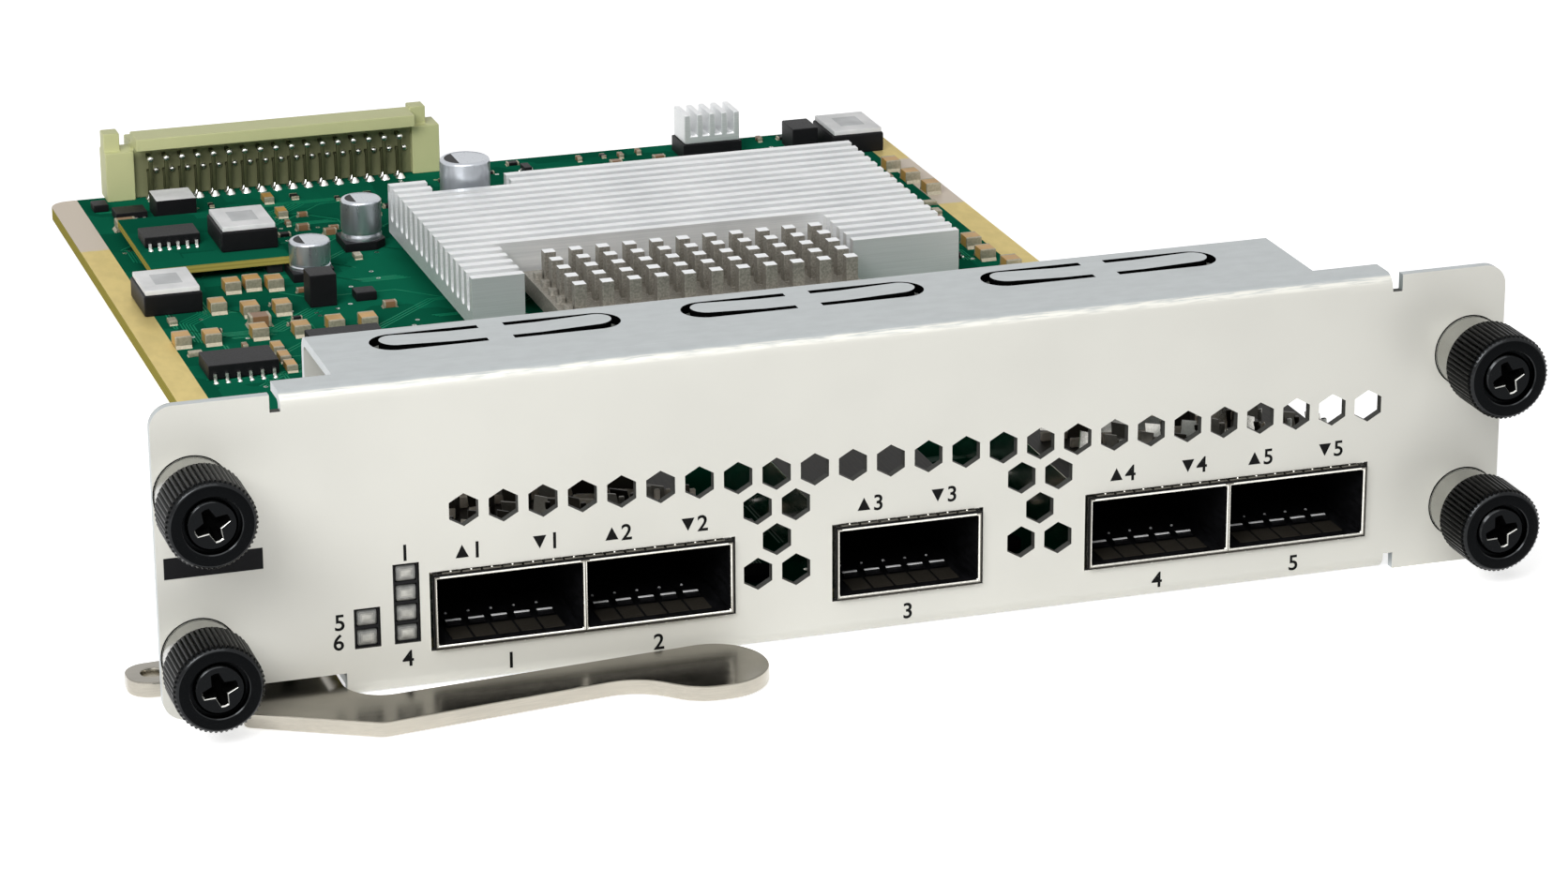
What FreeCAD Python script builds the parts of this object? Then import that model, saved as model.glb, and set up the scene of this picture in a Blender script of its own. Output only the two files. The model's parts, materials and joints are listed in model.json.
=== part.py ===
import FreeCAD, Part
import math
import os

# Muxponder module: a plug-in line card with a folded front panel.
# Millimetres. X runs across the panel, Y into the chassis, Z up.
# The origin lies on the rear face of the panel, at the centre of its four thumbscrews.

Vector = FreeCAD.Vector

# Front panel, folded from one sheet
panel_width = 176.8
panel_height = 40.2
sheet = 1.2
panel_corner = 2.8
bend_inside = 0.8
screw_edge = 4.8
screw_spacing_z = 20.8
screw_rise = 8.1

# Top flange with its rear lip, and the relief notches at its ends
flange_strip_width = 146.4
flange_strip_depth = 4.0
flange_width = 128.6
flange_depth = 20.8
flange_shift = -0.7
lip_height = 7.0
notch_width = 1.3
notch_height = 2.2

# Spring tongues in the top flange
tongue_groups = 3
tongue_pitch = 40.0
tongue_shift = -2.0
tongue_span = 32.0
tongue_slot_width = 6.4
tongue_slit = 1.2
tongue_bridge = 3.3
tongue_setback = 13.7
tongue_lift = 0.3
tongue_flat_share = 0.3

# Bottom flange
foot_depth = 12.0
foot_gap = 0.8

# Hexagonal vents: one long row and two small clusters below it
vent_count = 25
vent_pitch = 5.0
vent_flats = 3.7
vent_shift = 9.6
vent_rise = 22.9
vent_cluster_columns = (-4, 3)

# Circuit board
board_width = 138.2
board_shift = 3.1
board_front = 2.5
board_length = 201.0
board_thickness = 2.0
board_rise = 3.2
board_corner = 3.0

# Board standoffs and screws, beside the lamps and between the port cages
standoff_flats = 4.6
standoff_setback = 9.2
standoff_edge = 5.5
board_screw_radius = 1.0
board_screw_head = 2.1
board_screw_head_height = 1.3
screw_hole_clearance = 0.1

# Port cages and their host connectors
left_port_edge = 30.6
middle_port_shift = 3.8
right_port_edge = 21.9
bay_counts = (2, 1, 2)
bay_width = 18.4
bay_wall = 0.6
cage_wall = 0.6
cage_height = 9.8
cage_reach = 0.7
cage_depth = 48.0
window_clearance = 0.25
host_width = 14.6
host_depth = 10.0
host_height = 6.6
host_rear_gap = 1.5
host_slot_width = 12.4
host_slot_height = 1.6
host_slot_rise = 2.9
host_slot_depth = 4.0
host_clearance = 0.6

# Lamp blocks with square lenses
lamp_edges = (1.5, 6.5)
lamp_counts = (2, 4)
lamp_window_width = 3.3
lamp_window_rise = 6.4
lamp_pitch = 2.6
lamp_clearance = 0.1
lamp_recess = 0.3
lamp_block_depth = 5.5
lens_width = 2.6
lens_height = 2.1
lens_depth = 2.0
lens_reach = 0.15
lens_clearance = 0.05

# Thumbscrew sleeve, pressed into the panel
sleeve_radius = 4.7
sleeve_length = 5.7
sleeve_neck = 3.5
spring_bore = 3.4
shoulder_thickness = 1.6
thread_radius = 1.5
shank_radius = 1.25
shank_clearance = 0.1
thread_gap = 0.1
thread_reach = 3.0

# Thumbscrew knob
knob_radius = 5.6
knob_length = 7.2
knob_gap = 4.7
knob_wall = 1.5
knob_bevel = 0.7
knob_grooves = 32
knob_groove_depth = 0.3
knob_skirt_clearance = 0.2
insert_radius = 3.15
insert_groove = 0.45
insert_recess = 0.2
insert_height = 0.8
insert_flange = 2.4
recess_span = 4.5
recess_width = 1.25
recess_depth = 1.1
seat_radius = 4.2
seat_thickness = 0.4
seat_hole_clearance = 0.1

# Ejector lever
lever_thickness = 2.0
lever_rise = 0.2
pivot_board_gap = 8.0
pivot_y = 8.0
lever_hook_reach = 16.9
lever_hook_width = 6.6
lever_hook_hole = 1.4
lever_hook_offset = 1.8
lever_hook_slope = 1.0
lever_hook_round = 3.0
lever_neck_left = 3.4
lever_neck_right = 7.8
lever_neck_flare = 1.6
lever_neck_round = 3.0
lever_crook = 5.6
lever_crook_round = 5.0
lever_heel = 6.8
lever_heel_round = 6.5
lever_slot_left = 11.6
lever_slot_side = 0.6

# Corners of the lever's handle: right of the pivot, ahead of the panel, corner radius
lever_handle = (
    (-6.2, 5.2, 1.2),
    (9.6, 13.8, 3.0),
    (42.5, 9.6, 8.0),
    (48.5, 15.5, 6.8),
    (59.4, 15.5, 6.8),
    (59.4, 1.0, 6.8),
)

# Pivot of the lever
rivet_radius = 2.0
rivet_fit = 0.05
rivet_head_radius = 3.2
rivet_head_height = 1.2
rivet_foot_radius = 3.0
rivet_foot_height = 0.7
rivet_foot_clearance = 0.3
washer_radius = 4.0
washer_thickness = 1.1
lever_play = 0.1
shelf_half_width = 6.3
shelf_margin = 5.5

# Rear connector, beside the board's left edge
plug_edge = 8.9
plug_length = 54.6
plug_flange = 4.6
plug_height = 10.6
plug_wall = 1.0
plug_back_wall = 2.0
plug_shell_height = 8.6
plug_overhang = 5.6
plug_hood_reach = 3.5
plug_hood_height = 2.0
plug_flange_height = 8.0
plug_flange_reach = 1.0
plug_flange_overhang = 2.0
plug_ear_width = 2.6
plug_ear_height = 11.0
plug_ear_length = 3.0
pin_columns = 17
pin_pitch = 2.54
pin_row_rise = 4.4
pin_row_spacing = 2.54
pin_width = 0.64
pin_first_reach = 0.8
pin_second_reach = 2.3
pin_socket_reach = 1.4

# Large finned heatsink, its chip and pad
sink_shift = -23.7
sink_rear_edge = 42.5
sink_width = 74.7
sink_length = 51.0
sink_base = 2.2
sink_fins = 17
sink_fin_height = 5.5
sink_fin_thickness = 1.5
sink_front_notch = (7.9, 50.2, 15.5)
sink_rear_notch = (5.9, 12.5, 5.0)
chip_offset = (37.6, 33.0)
chip_size = (31.0, 27.0)
chip_height = 2.5
pad_inset = 1.0
pad_thickness = 0.5

# Pin-fin heatsink in the front notch, its chip and pad
pin_sink_left_gap = 3.4
pin_sink_width = 46.0
pin_sink_reach = 10.5
pin_sink_length = 24.5
pin_sink_base = 2.8
pin_sink_columns = 11
pin_sink_rows = 5
pin_sink_pitch = 4.12
pin_sink_pin = 1.8
pin_sink_pin_height = 4.2
pin_sink_side_margin = 1.0
pin_sink_front_margin = 2.9
pin_sink_stub = 1.2
pin_sink_stub_height = 1.0
line_chip_size = (28.0, 18.0)
line_chip_height = 3.2

# Small ribbed heatsink on its power package (from the right edge, from the rear edge)
ribbed_place = (30.5, 6.5)
ribbed_size = (9.4, 6.4)
ribbed_base = 1.4
ribbed_fins = 5
ribbed_fin_thickness = 1.1
ribbed_height = 5.0
package_size = (10.0, 6.8)
package_height = 2.6

# Raised power board and its spacers (from the left edge, from the rear edge to its rear)
power_board_place = (7.0, 22.1)
power_board_size = (21.4, 27.0)
power_board_thickness = 1.2
power_board_lift = 1.6
power_spacer = 2.4
power_spacer_inset = 2.2

# Wound parts (centre from the left or right edge, from the rear edge)
inductor_size = (8.8, 10.8)
inductor_height = 3.2
inductor_top = 0.8
inductor_top_inset = 0.3
inductor_on_power_board = (23.2, 39.1)
inductor_left = (7.5, 58.1)
inductor_right = (7.0, 9.5)

# Electrolytic cans (centre from the left edge, from the rear edge, radius, height)
cans = (
    (42.0, 38.3, 3.15, 7.7),
    (31.0, 50.9, 3.15, 5.8),
)
can_rim = 0.5
can_base_height = 1.4
can_base_margin = 0.2

# The tall can in the rear notch of the large heatsink
tall_can_radius = 3.9
tall_can_height = 13.9
tall_can_setback = 4.6

# Chips with leads (centre from the left edge, from the rear edge, length, width, height)
leaded_chips = (
    (11.2, 92.0, 10.3, 7.0, 2.3),
    (10.6, 12.9, 5.0, 4.0, 1.6),
)
power_board_chip = (12.4, 35.9, 8.6, 5.6, 1.8)
lead_counts = (6, 4, 6)
lead_width = 0.45
lead_reach = 1.3
lead_thickness = 0.25
lead_shoulder = 0.5
chip_standoff = 0.2

# Plain black blocks (centre from the left edge, from the rear edge, length, width, height)
left_blocks = (
    (29.4, 64.8, 4.1, 4.4, 5.0),
    (36.1, 64.7, 3.2, 3.0, 1.4),
    (27.0, 92.5, 10.8, 8.0, 4.0),
    (17.6, 12.5, 6.4, 6.2, 3.3),
    (7.0, 6.5, 2.4, 3.0, 1.2),
)
right_block = (15.0, 8.4, 4.4, 6.0, 4.0)

# Ceramic capacitors (centre from the left or right edge, from the rear edge)
capacitor_size = (2.5, 3.2)
capacitor_height = 1.8
left_capacitors = (
    (18.0, 54.7), (21.2, 54.3), (24.4, 55.4),
    (18.2, 66.9), (22.9, 67.5), (13.9, 63.9),
    (17.2, 77.8), (5.7, 78.0), (10.1, 78.2),
    (23.3, 78.5), (28.6, 77.5), (33.5, 77.8),
)
right_capacitors = (
    (7.2, 69.1), (7.3, 75.7), (5.4, 81.9),
    (5.0, 25.3), (4.2, 32.5), (3.2, 39.5),
)

# Places worked out from the sizes above
screw_spacing_x = panel_width - 2 * screw_edge
panel_bottom = -screw_spacing_z / 2 - screw_rise
panel_top = panel_bottom + panel_height
panel_front = -sheet
flange_left = flange_shift - flange_width / 2
flange_right = flange_shift + flange_width / 2
board_bottom = panel_bottom + board_rise
board_top = board_bottom + board_thickness
board_left = board_shift - board_width / 2
board_right = board_shift + board_width / 2
board_rear = board_front + board_length
port_centres = (board_left + left_port_edge, board_shift + middle_port_shift, board_right - right_port_edge)
cage_front = panel_front - cage_reach
cage_top = board_top + cage_height
bay_pitch = bay_width + bay_wall
cage_widths = [bays * bay_pitch - bay_wall + 2 * cage_wall for bays in bay_counts]
host_rear = cage_depth - cage_wall - host_rear_gap
lamp_names = ("lamp_block_two", "lamp_block_four")
lamp_lefts = [board_left + edge for edge in lamp_edges]
lamp_window_bottom = panel_bottom + lamp_window_rise
lamp_front = panel_front + lamp_recess
sleeve_front = panel_front - sleeve_length
shoulder_front = -shoulder_thickness
knob_rear = panel_front - knob_gap
knob_front = knob_rear - knob_length
knob_cup = knob_front + knob_wall
insert_front = knob_front + insert_recess
lever_bottom = panel_bottom + lever_rise
lever_top = lever_bottom + lever_thickness
shelf_bottom = lever_top + lever_play + washer_thickness
pivot_x = board_left - pivot_board_gap
slot_left = pivot_x - lever_slot_left
slot_right = pivot_x + lever_neck_right + lever_slot_side
foot_left = slot_right + foot_gap
sink_left = board_shift + sink_shift
sink_bottom = board_top + chip_height + pad_thickness
sink_rear = board_rear - sink_rear_edge
sink_front = sink_rear - sink_length
chip_centre = (sink_left + chip_offset[0], sink_front + chip_offset[1])
pin_sink_left = sink_left + sink_front_notch[0] + pin_sink_left_gap
pin_sink_front = sink_front - pin_sink_reach
line_chip_centre = (pin_sink_left + pin_sink_width / 2, pin_sink_front + pin_sink_length / 2)
power_board_top = board_top + power_board_lift + power_board_thickness
plug_left = board_left + plug_edge
plug_right = plug_left + plug_length
plug_centre = (plug_left + plug_right) / 2
plug_wall_front = board_rear - plug_back_wall
plug_mouth = board_rear + plug_overhang

screw_places = {
    "top_left": (-screw_spacing_x / 2, screw_spacing_z / 2),
    "bottom_left": (-screw_spacing_x / 2, -screw_spacing_z / 2),
    "top_right": (screw_spacing_x / 2, screw_spacing_z / 2),
    "bottom_right": (screw_spacing_x / 2, -screw_spacing_z / 2),
}

# A cut runs past the faces that it opens by this much
overshoot = 1.0


def from_left(place):
    """A place in plan, from its distances to the board's left and rear edges."""
    return (board_left + place[0], board_rear - place[1])


def from_right(place):
    """A place in plan, from its distances to the board's right and rear edges."""
    return (board_right - place[0], board_rear - place[1])


def box(x0, x1, y0, y1, z0, z1):
    """A box between two corners."""
    return Part.makeBox(x1 - x0, y1 - y0, z1 - z0, Vector(x0, y0, z0))


def block(place, size, z0, height):
    """A box centred on a place in plan, standing on z0."""
    x, y = place
    half_x, half_y = size[0] / 2, size[1] / 2
    return box(x - half_x, x + half_x, y - half_y, y + half_y, z0, z0 + height)


def rod(radius, place, y0, y1):
    """A round bar along Y at a place (x, z)."""
    return Part.makeCylinder(radius, y1 - y0, Vector(place[0], y0, place[1]), Vector(0, 1, 0))


def post(radius, place, z0, z1):
    """A round bar along Z at a place (x, y)."""
    return Part.makeCylinder(radius, z1 - z0, Vector(place[0], place[1], z0))


def prism(points, direction):
    """A straight-sided solid from a closed run of points."""
    return Part.Face(Part.makePolygon(points + points[:1])).extrude(direction)


def hexagon(place, flats, first_angle):
    """The six corners (across, up) of a hexagon round a place, from the width across its flats."""
    radius = flats / math.sqrt(3)
    corners = []
    for step in range(6):
        angle = math.radians(first_angle + 60 * step)
        corners.append((place[0] + radius * math.cos(angle), place[1] + radius * math.sin(angle)))
    return corners


def fused(shapes):
    """One solid from shapes that meet, with the seams between flat faces removed."""
    return shapes[0].fuse(shapes[1:]).removeSplitter().Solids[0]


def edges_along_x(shape, y, z, x0, x1):
    """The straight edges along X at (y, z) that lie between x0 and x1."""
    found = []
    for edge in shape.Edges:
        ends = [vertex.Point for vertex in edge.Vertexes]
        on_line = all(abs(p.y - y) < 1e-4 and abs(p.z - z) < 1e-4 for p in ends)
        if on_line and all(x0 - 1e-4 < p.x < x1 + 1e-4 for p in ends):
            found.append(edge)
    return found


def edges_along(shape, axis):
    """The straight edges of a shape that run along an axis."""
    found = []
    for edge in shape.Edges:
        if len(edge.Vertexes) == 2:
            run = edge.Vertexes[1].Point - edge.Vertexes[0].Point
            if abs(run.normalize().dot(axis)) > 1 - 1e-6:
                found.append(edge)
    return found


def rounded_outline(corners, z):
    """A closed flat outline through corners (x, y, radius), each rounded by a tangent arc."""
    count = len(corners)
    turns = []
    for index, (x, y, radius) in enumerate(corners):
        here = Vector(x, y, z)
        before = corners[index - 1]
        after = corners[(index + 1) % count]
        back = (Vector(before[0], before[1], z) - here).normalize()
        ahead = (Vector(after[0], after[1], z) - here).normalize()
        if radius == 0:
            turns.append((here, None, here))
            continue
        half = back.getAngle(ahead) / 2
        inward = (back + ahead).normalize()
        reach = radius / math.tan(half)
        middle = here + inward * (radius / math.sin(half) - radius)
        turns.append((here + back * reach, middle, here + ahead * reach))
    edges = []
    for index, (start, middle, end) in enumerate(turns):
        leaving = turns[index - 1][2]
        if leaving.distanceToPoint(start) > 1e-6:
            edges.append(Part.LineSegment(leaving, start).toShape())
        if middle is not None:
            edges.append(Part.Arc(start, middle, end).toShape())
    return Part.Wire(edges)


def plate(corners, z0, z1):
    """A flat plate with a rounded outline."""
    return Part.Face(rounded_outline(corners, z0)).extrude(Vector(0, 0, z1 - z0))


def half_slot(root, tip, width, z0, z1):
    """Half of a long round-ended slot, from a square root to a round tip along X."""
    half = width / 2
    corners = ((root, -half, 0), (tip, -half, half), (tip, half, half), (root, half, 0))
    return plate(corners, z0, z1)


def spring_tongue(centre_x, side):
    """The sheet removed for one spring tongue, and the tongue that stands in its place."""
    root = tongue_bridge / 2 * side
    tip = tongue_span / 2 * side
    tongue_tip = tip - tongue_slit * side
    tongue_width = tongue_slot_width - 2 * tongue_slit
    low = panel_top - sheet
    rise_start = root + (tongue_tip - root) * tongue_flat_share
    profile = [
        Vector(root, -tongue_width / 2, low),
        Vector(rise_start, -tongue_width / 2, low),
        Vector(tongue_tip, -tongue_width / 2, low + tongue_lift),
        Vector(tongue_tip, -tongue_width / 2, panel_top + tongue_lift),
        Vector(rise_start, -tongue_width / 2, panel_top),
        Vector(root, -tongue_width / 2, panel_top),
    ]
    bent = prism(profile, Vector(0, tongue_width, 0))
    shape = half_slot(root, tongue_tip, tongue_width, low - overshoot, panel_top + tongue_lift + overshoot)
    tongue = bent.common(shape)
    removed = half_slot(root, tip, tongue_slot_width, low - overshoot, panel_top + overshoot)
    place = Vector(centre_x, tongue_setback, 0)
    tongue.translate(place)
    removed.translate(place)
    return removed, tongue


def vent(x, z):
    """A cutter for one hexagonal vent with a corner at its top."""
    front = panel_front - overshoot
    points = [Vector(across, front, up) for across, up in hexagon((x, z), vent_flats, 90)]
    return prism(points, Vector(0, sheet + 2 * overshoot, 0))


def vent_cutters():
    """All the vents: a row, and below it two clusters of five."""
    row_z = panel_bottom + vent_rise
    row_step = vent_pitch * math.sqrt(3) / 2
    cutters = []
    for index in range(vent_count):
        cutters.append(vent(vent_shift + (index - (vent_count - 1) / 2) * vent_pitch, row_z))
    for column in vent_cluster_columns:
        x = vent_shift + column * vent_pitch
        for side in (-1, 1):
            cutters.append(vent(x + side * vent_pitch / 2, row_z - row_step))
            cutters.append(vent(x + side * vent_pitch / 2, row_z - 3 * row_step))
        cutters.append(vent(x, row_z - 2 * row_step))
    return cutters


def through_panel(x0, x1, z0, z1):
    """A cutter for a rectangular window in the panel."""
    return box(x0, x1, panel_front - overshoot, overshoot, z0, z1)


def window_cutters():
    """The port windows, the lamp windows, the sleeve holes and the lever slot."""
    cutters = []
    for centre, width in zip(port_centres, cage_widths):
        half = width / 2 + window_clearance
        cutters.append(through_panel(
            centre - half, centre + half, board_top - window_clearance, cage_top + window_clearance))
    for left, lamps in zip(lamp_lefts, lamp_counts):
        cutters.append(through_panel(
            left, left + lamp_window_width, lamp_window_bottom, lamp_window_bottom + lamps * lamp_pitch))
    for place in screw_places.values():
        cutters.append(rod(sleeve_neck, place, panel_front - overshoot, overshoot))
    cutters.append(through_panel(slot_left, slot_right, panel_bottom - overshoot, shelf_bottom))
    return cutters


def front_panel():
    """The folded panel: face, top flange with lip, bottom flange, and the shelf of the lever."""
    face = box(-panel_width / 2, panel_width / 2, panel_front, 0, panel_bottom, panel_top)
    face = face.makeFillet(panel_corner, edges_along(face, Vector(0, 1, 0)))
    strip_half = flange_strip_width / 2
    flange_bottom = panel_top - sheet
    folded = fused([
        face,
        box(-strip_half, strip_half, 0, flange_strip_depth, flange_bottom, panel_top),
        box(flange_left, flange_right, 0, flange_depth, flange_bottom, panel_top),
        box(flange_left, flange_right, flange_depth - sheet, flange_depth, panel_top - lip_height, panel_top),
        box(foot_left, strip_half, 0, foot_depth, panel_bottom, panel_bottom + sheet),
    ])
    notches = []
    for side in (-1, 1):
        x = side * strip_half
        notches.append(box(x - notch_width / 2, x + notch_width / 2, panel_front - overshoot,
                           flange_strip_depth + overshoot, panel_top - notch_height, panel_top + overshoot))
    notches.append(box(strip_half - notch_width / 2, strip_half + notch_width / 2, panel_front - overshoot,
                       foot_depth + overshoot, panel_bottom - overshoot, panel_bottom + notch_height))
    folded = folded.cut(notches + window_cutters() + vent_cutters()).Solids[0]
    outside = edges_along_x(folded, panel_front, panel_top, -strip_half, strip_half)
    outside += edges_along_x(folded, flange_depth, panel_top, flange_left, flange_right)
    outside += edges_along_x(folded, panel_front, panel_bottom, slot_right, strip_half)
    folded = folded.makeFillet(bend_inside + sheet, outside)
    inside = edges_along_x(folded, 0, flange_bottom, -strip_half, strip_half)
    inside += edges_along_x(folded, flange_depth - sheet, flange_bottom, flange_left, flange_right)
    inside += edges_along_x(folded, 0, panel_bottom + sheet, foot_left, strip_half)
    folded = folded.makeFillet(bend_inside, inside)
    removed = []
    tongues = []
    for group in range(tongue_groups):
        centre_x = tongue_shift + (group - (tongue_groups - 1) / 2) * tongue_pitch
        for side in (-1, 1):
            slit, tongue = spring_tongue(centre_x, side)
            removed.append(slit)
            tongues.append(tongue)
    shelf_top = shelf_bottom + sheet
    shelf = box(pivot_x - shelf_half_width, pivot_x + shelf_half_width, panel_front, pivot_y + shelf_margin,
                shelf_bottom, shelf_top)
    shelf = shelf.cut(post(rivet_radius, (pivot_x, pivot_y), shelf_bottom - overshoot, shelf_top + overshoot))
    return fused([folded.cut(removed).Solids[0], shelf] + tongues)


def screw_sleeve(place):
    """A thumbscrew sleeve: a spring bore in front, and a shoulder behind it that holds the screw."""
    outside = fused([
        rod(sleeve_radius, place, sleeve_front, panel_front),
        rod(sleeve_neck, place, panel_front, 0),
    ])
    return outside.cut([
        rod(spring_bore, place, sleeve_front - overshoot, shoulder_front),
        rod(shank_radius + shank_clearance, place, shoulder_front - overshoot, overshoot),
    ]).Solids[0]


def screw_knob(place):
    """A knurled knob with a skirt that runs over the sleeve."""
    x, z = place
    points = []
    for step in range(2 * knob_grooves):
        radius = knob_radius - knob_groove_depth * (step % 2)
        angle = math.pi * step / knob_grooves
        points.append(Vector(x + radius * math.cos(angle), knob_rear, z + radius * math.sin(angle)))
    grip = prism(points, Vector(0, knob_bevel - knob_length, 0))
    root_radius = knob_radius - knob_groove_depth
    bevel = Part.makeCone(root_radius, root_radius - knob_bevel, knob_bevel,
                          Vector(x, knob_front + knob_bevel, z), Vector(0, -1, 0))
    return fused([grip, bevel]).cut([
        rod(sleeve_radius + knob_skirt_clearance, place, knob_cup, knob_rear + overshoot),
        rod(insert_radius + insert_groove, place, knob_front - overshoot, insert_front + insert_height),
        rod(insert_flange, place, knob_front - overshoot, knob_cup + overshoot),
    ]).Solids[0]


def captive_screw(place):
    """The cross-recess screw inside a knob: head, neck, then the thread behind the shoulder."""
    x, z = place
    screw = fused([
        rod(insert_radius, place, insert_front, insert_front + insert_height),
        rod(insert_flange, place, insert_front + insert_height, knob_cup),
        rod(shank_radius, place, knob_cup, thread_gap),
        rod(thread_radius, place, thread_gap, thread_reach - thread_radius / 2),
        Part.makeCone(thread_radius, thread_radius / 2, thread_radius / 2,
                      Vector(x, thread_reach - thread_radius / 2, z), Vector(0, 1, 0)),
    ])
    half_span, half_width = recess_span / 2, recess_width / 2
    front, floor = insert_front - overshoot, insert_front + recess_depth
    return screw.cut([
        box(x - half_span, x + half_span, front, floor, z - half_width, z + half_width),
        box(x - half_width, x + half_width, front, floor, z - half_span, z + half_span),
    ]).Solids[0]


def spring_seat(place):
    """The washer in a knob's cup that slides with the knob but doesn't turn with it."""
    seat = rod(seat_radius, place, knob_cup, knob_cup + seat_thickness)
    return seat.cut(rod(shank_radius + seat_hole_clearance, place, knob_cup - overshoot,
                        knob_cup + seat_thickness + overshoot))


def ejector_lever():
    """The flat lever: a hook behind the panel, a neck in the slot, and a handle with a round finger end."""
    left = pivot_x - lever_neck_left
    right = pivot_x + lever_neck_right
    hook_end = pivot_x - lever_hook_reach
    hook_front = pivot_y + lever_hook_offset - lever_hook_width / 2
    hook_rear = hook_front + lever_hook_width
    corners = [
        (hook_end, hook_rear, lever_hook_round),
        (hook_end, hook_front, lever_hook_round),
        (left, hook_front - lever_hook_slope, lever_neck_round),
        (left, panel_front - lever_neck_flare, lever_neck_round),
    ]
    corners += [(pivot_x + x, panel_front - ahead, radius) for x, ahead, radius in lever_handle]
    corners += [
        (right, panel_front - lever_crook, lever_crook_round),
        (right, pivot_y + lever_heel, lever_heel_round),
    ]
    lever = plate(corners, lever_bottom, lever_top)
    pivot = (pivot_x, pivot_y)
    counterbore_top = lever_bottom + rivet_foot_height + lever_play
    hook = (hook_end + lever_hook_width / 2, hook_front + lever_hook_width / 2)
    return lever.cut([
        post(rivet_radius + rivet_fit, pivot, lever_bottom - overshoot, lever_top + overshoot),
        post(rivet_foot_radius + rivet_foot_clearance, pivot, lever_bottom - overshoot, counterbore_top),
        post(lever_hook_hole, hook, lever_bottom - overshoot, lever_top + overshoot),
    ]).Solids[0]


def lever_rivet():
    """The pivot: a head on the shelf, a shank, and a foot flush in the lever."""
    pivot = (pivot_x, pivot_y)
    shelf_top = shelf_bottom + sheet
    foot_top = lever_bottom + rivet_foot_height
    return fused([
        post(rivet_head_radius, pivot, shelf_top, shelf_top + rivet_head_height),
        post(rivet_radius, pivot, foot_top, shelf_top),
        post(rivet_foot_radius, pivot, lever_bottom, foot_top),
    ])


def lever_washer():
    """The spacer between the shelf and the lever."""
    pivot = (pivot_x, pivot_y)
    washer = post(washer_radius, pivot, shelf_bottom - washer_thickness, shelf_bottom)
    return washer.cut(post(rivet_radius + rivet_fit, pivot, lever_bottom, shelf_bottom + overshoot))


def standoff_places():
    """The standoffs: one by the left edge, and one in each gap between neighbouring cages."""
    xs = [board_left + standoff_edge]
    for index in range(len(bay_counts) - 1):
        gap_left = port_centres[index] + cage_widths[index] / 2
        gap_right = port_centres[index + 1] - cage_widths[index + 1] / 2
        xs.append((gap_left + gap_right) / 2)
    return [(x, standoff_setback) for x in xs]


def main_board():
    """The circuit board, with round rear corners and holes for its screws."""
    board = plate(((board_left, board_front, 0), (board_right, board_front, 0),
                   (board_right, board_rear, board_corner), (board_left, board_rear, board_corner)),
                  board_bottom, board_top)
    holes = []
    for place in standoff_places():
        holes.append(post(board_screw_radius + screw_hole_clearance, place,
                          board_bottom - overshoot, board_top + overshoot))
    return board.cut(holes).Solids[0]


def board_standoffs():
    """Six-sided standoffs that carry the board on the bottom flange."""
    standoffs = []
    low = panel_bottom + sheet
    for place in standoff_places():
        points = [Vector(across, along, low) for across, along in hexagon(place, standoff_flats, 0)]
        outside = prism(points, Vector(0, 0, board_bottom - low))
        bore = post(board_screw_radius + screw_hole_clearance, place, low, board_bottom)
        standoffs.append(outside.cut(bore))
    return Part.makeCompound(standoffs)


def board_screws():
    """Pan-head screws through the board into its standoffs."""
    screws = []
    for place in standoff_places():
        head = post(board_screw_head, place, board_top, board_top + board_screw_head_height)
        shank = post(board_screw_radius, place, panel_bottom + sheet, board_top)
        screws.append(fused([head, shank]))
    return Part.makeCompound(screws)


def bay_centres(centre, bays):
    return [centre + (index - (bays - 1) / 2) * bay_pitch for index in range(bays)]


def port_cage(centre, bays, width):
    """A sheet cage on the board, open in front, with a floor cut away over each host connector."""
    half = width / 2
    cage = box(centre - half, centre + half, cage_front, cage_depth, board_top, cage_top)
    rear = cage_depth - cage_wall
    cutters = []
    for x in bay_centres(centre, bays):
        cutters.append(box(x - bay_width / 2, x + bay_width / 2, cage_front - overshoot, rear,
                           board_top + cage_wall, cage_top - cage_wall))
        gap = host_width / 2 + host_clearance
        cutters.append(box(x - gap, x + gap, host_rear - host_depth - host_clearance, rear,
                           board_top - overshoot, board_top + cage_wall + overshoot))
    return cage.cut(cutters).Solids[0]


def host_connectors():
    """The black connector at the back of each bay, with its card slot facing out."""
    blocks = []
    for centre, bays in zip(port_centres, bay_counts):
        for x in bay_centres(centre, bays):
            body = box(x - host_width / 2, x + host_width / 2, host_rear - host_depth, host_rear,
                       board_top, board_top + host_height)
            front = host_rear - host_depth
            slot_floor = board_top + host_slot_rise
            blocks.append(body.cut(box(x - host_slot_width / 2, x + host_slot_width / 2, front - overshoot,
                                       front + host_slot_depth, slot_floor, slot_floor + host_slot_height)))
    return Part.makeCompound(blocks)


def lamp_centres(lamps):
    return [lamp_window_bottom + (index + 0.5) * lamp_pitch for index in range(lamps)]


def lamp_block(left, lamps):
    """A black lamp housing on the board, whose nose fills a window of the panel."""
    x0 = left + lamp_clearance
    x1 = left + lamp_window_width - lamp_clearance
    top = lamp_window_bottom + lamps * lamp_pitch - lamp_clearance
    housing = fused([
        box(x0, x1, board_front, lamp_block_depth, board_top, top),
        box(x0, x1, lamp_front, board_front, lamp_window_bottom + lamp_clearance, top),
    ])
    middle = left + lamp_window_width / 2
    pockets = []
    for z in lamp_centres(lamps):
        half_x = lens_width / 2 + lens_clearance
        half_z = lens_height / 2 + lens_clearance
        pockets.append(box(middle - half_x, middle + half_x, lamp_front - overshoot,
                           lamp_front - lens_reach + lens_depth, z - half_z, z + half_z))
    return housing.cut(pockets).Solids[0]


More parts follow.
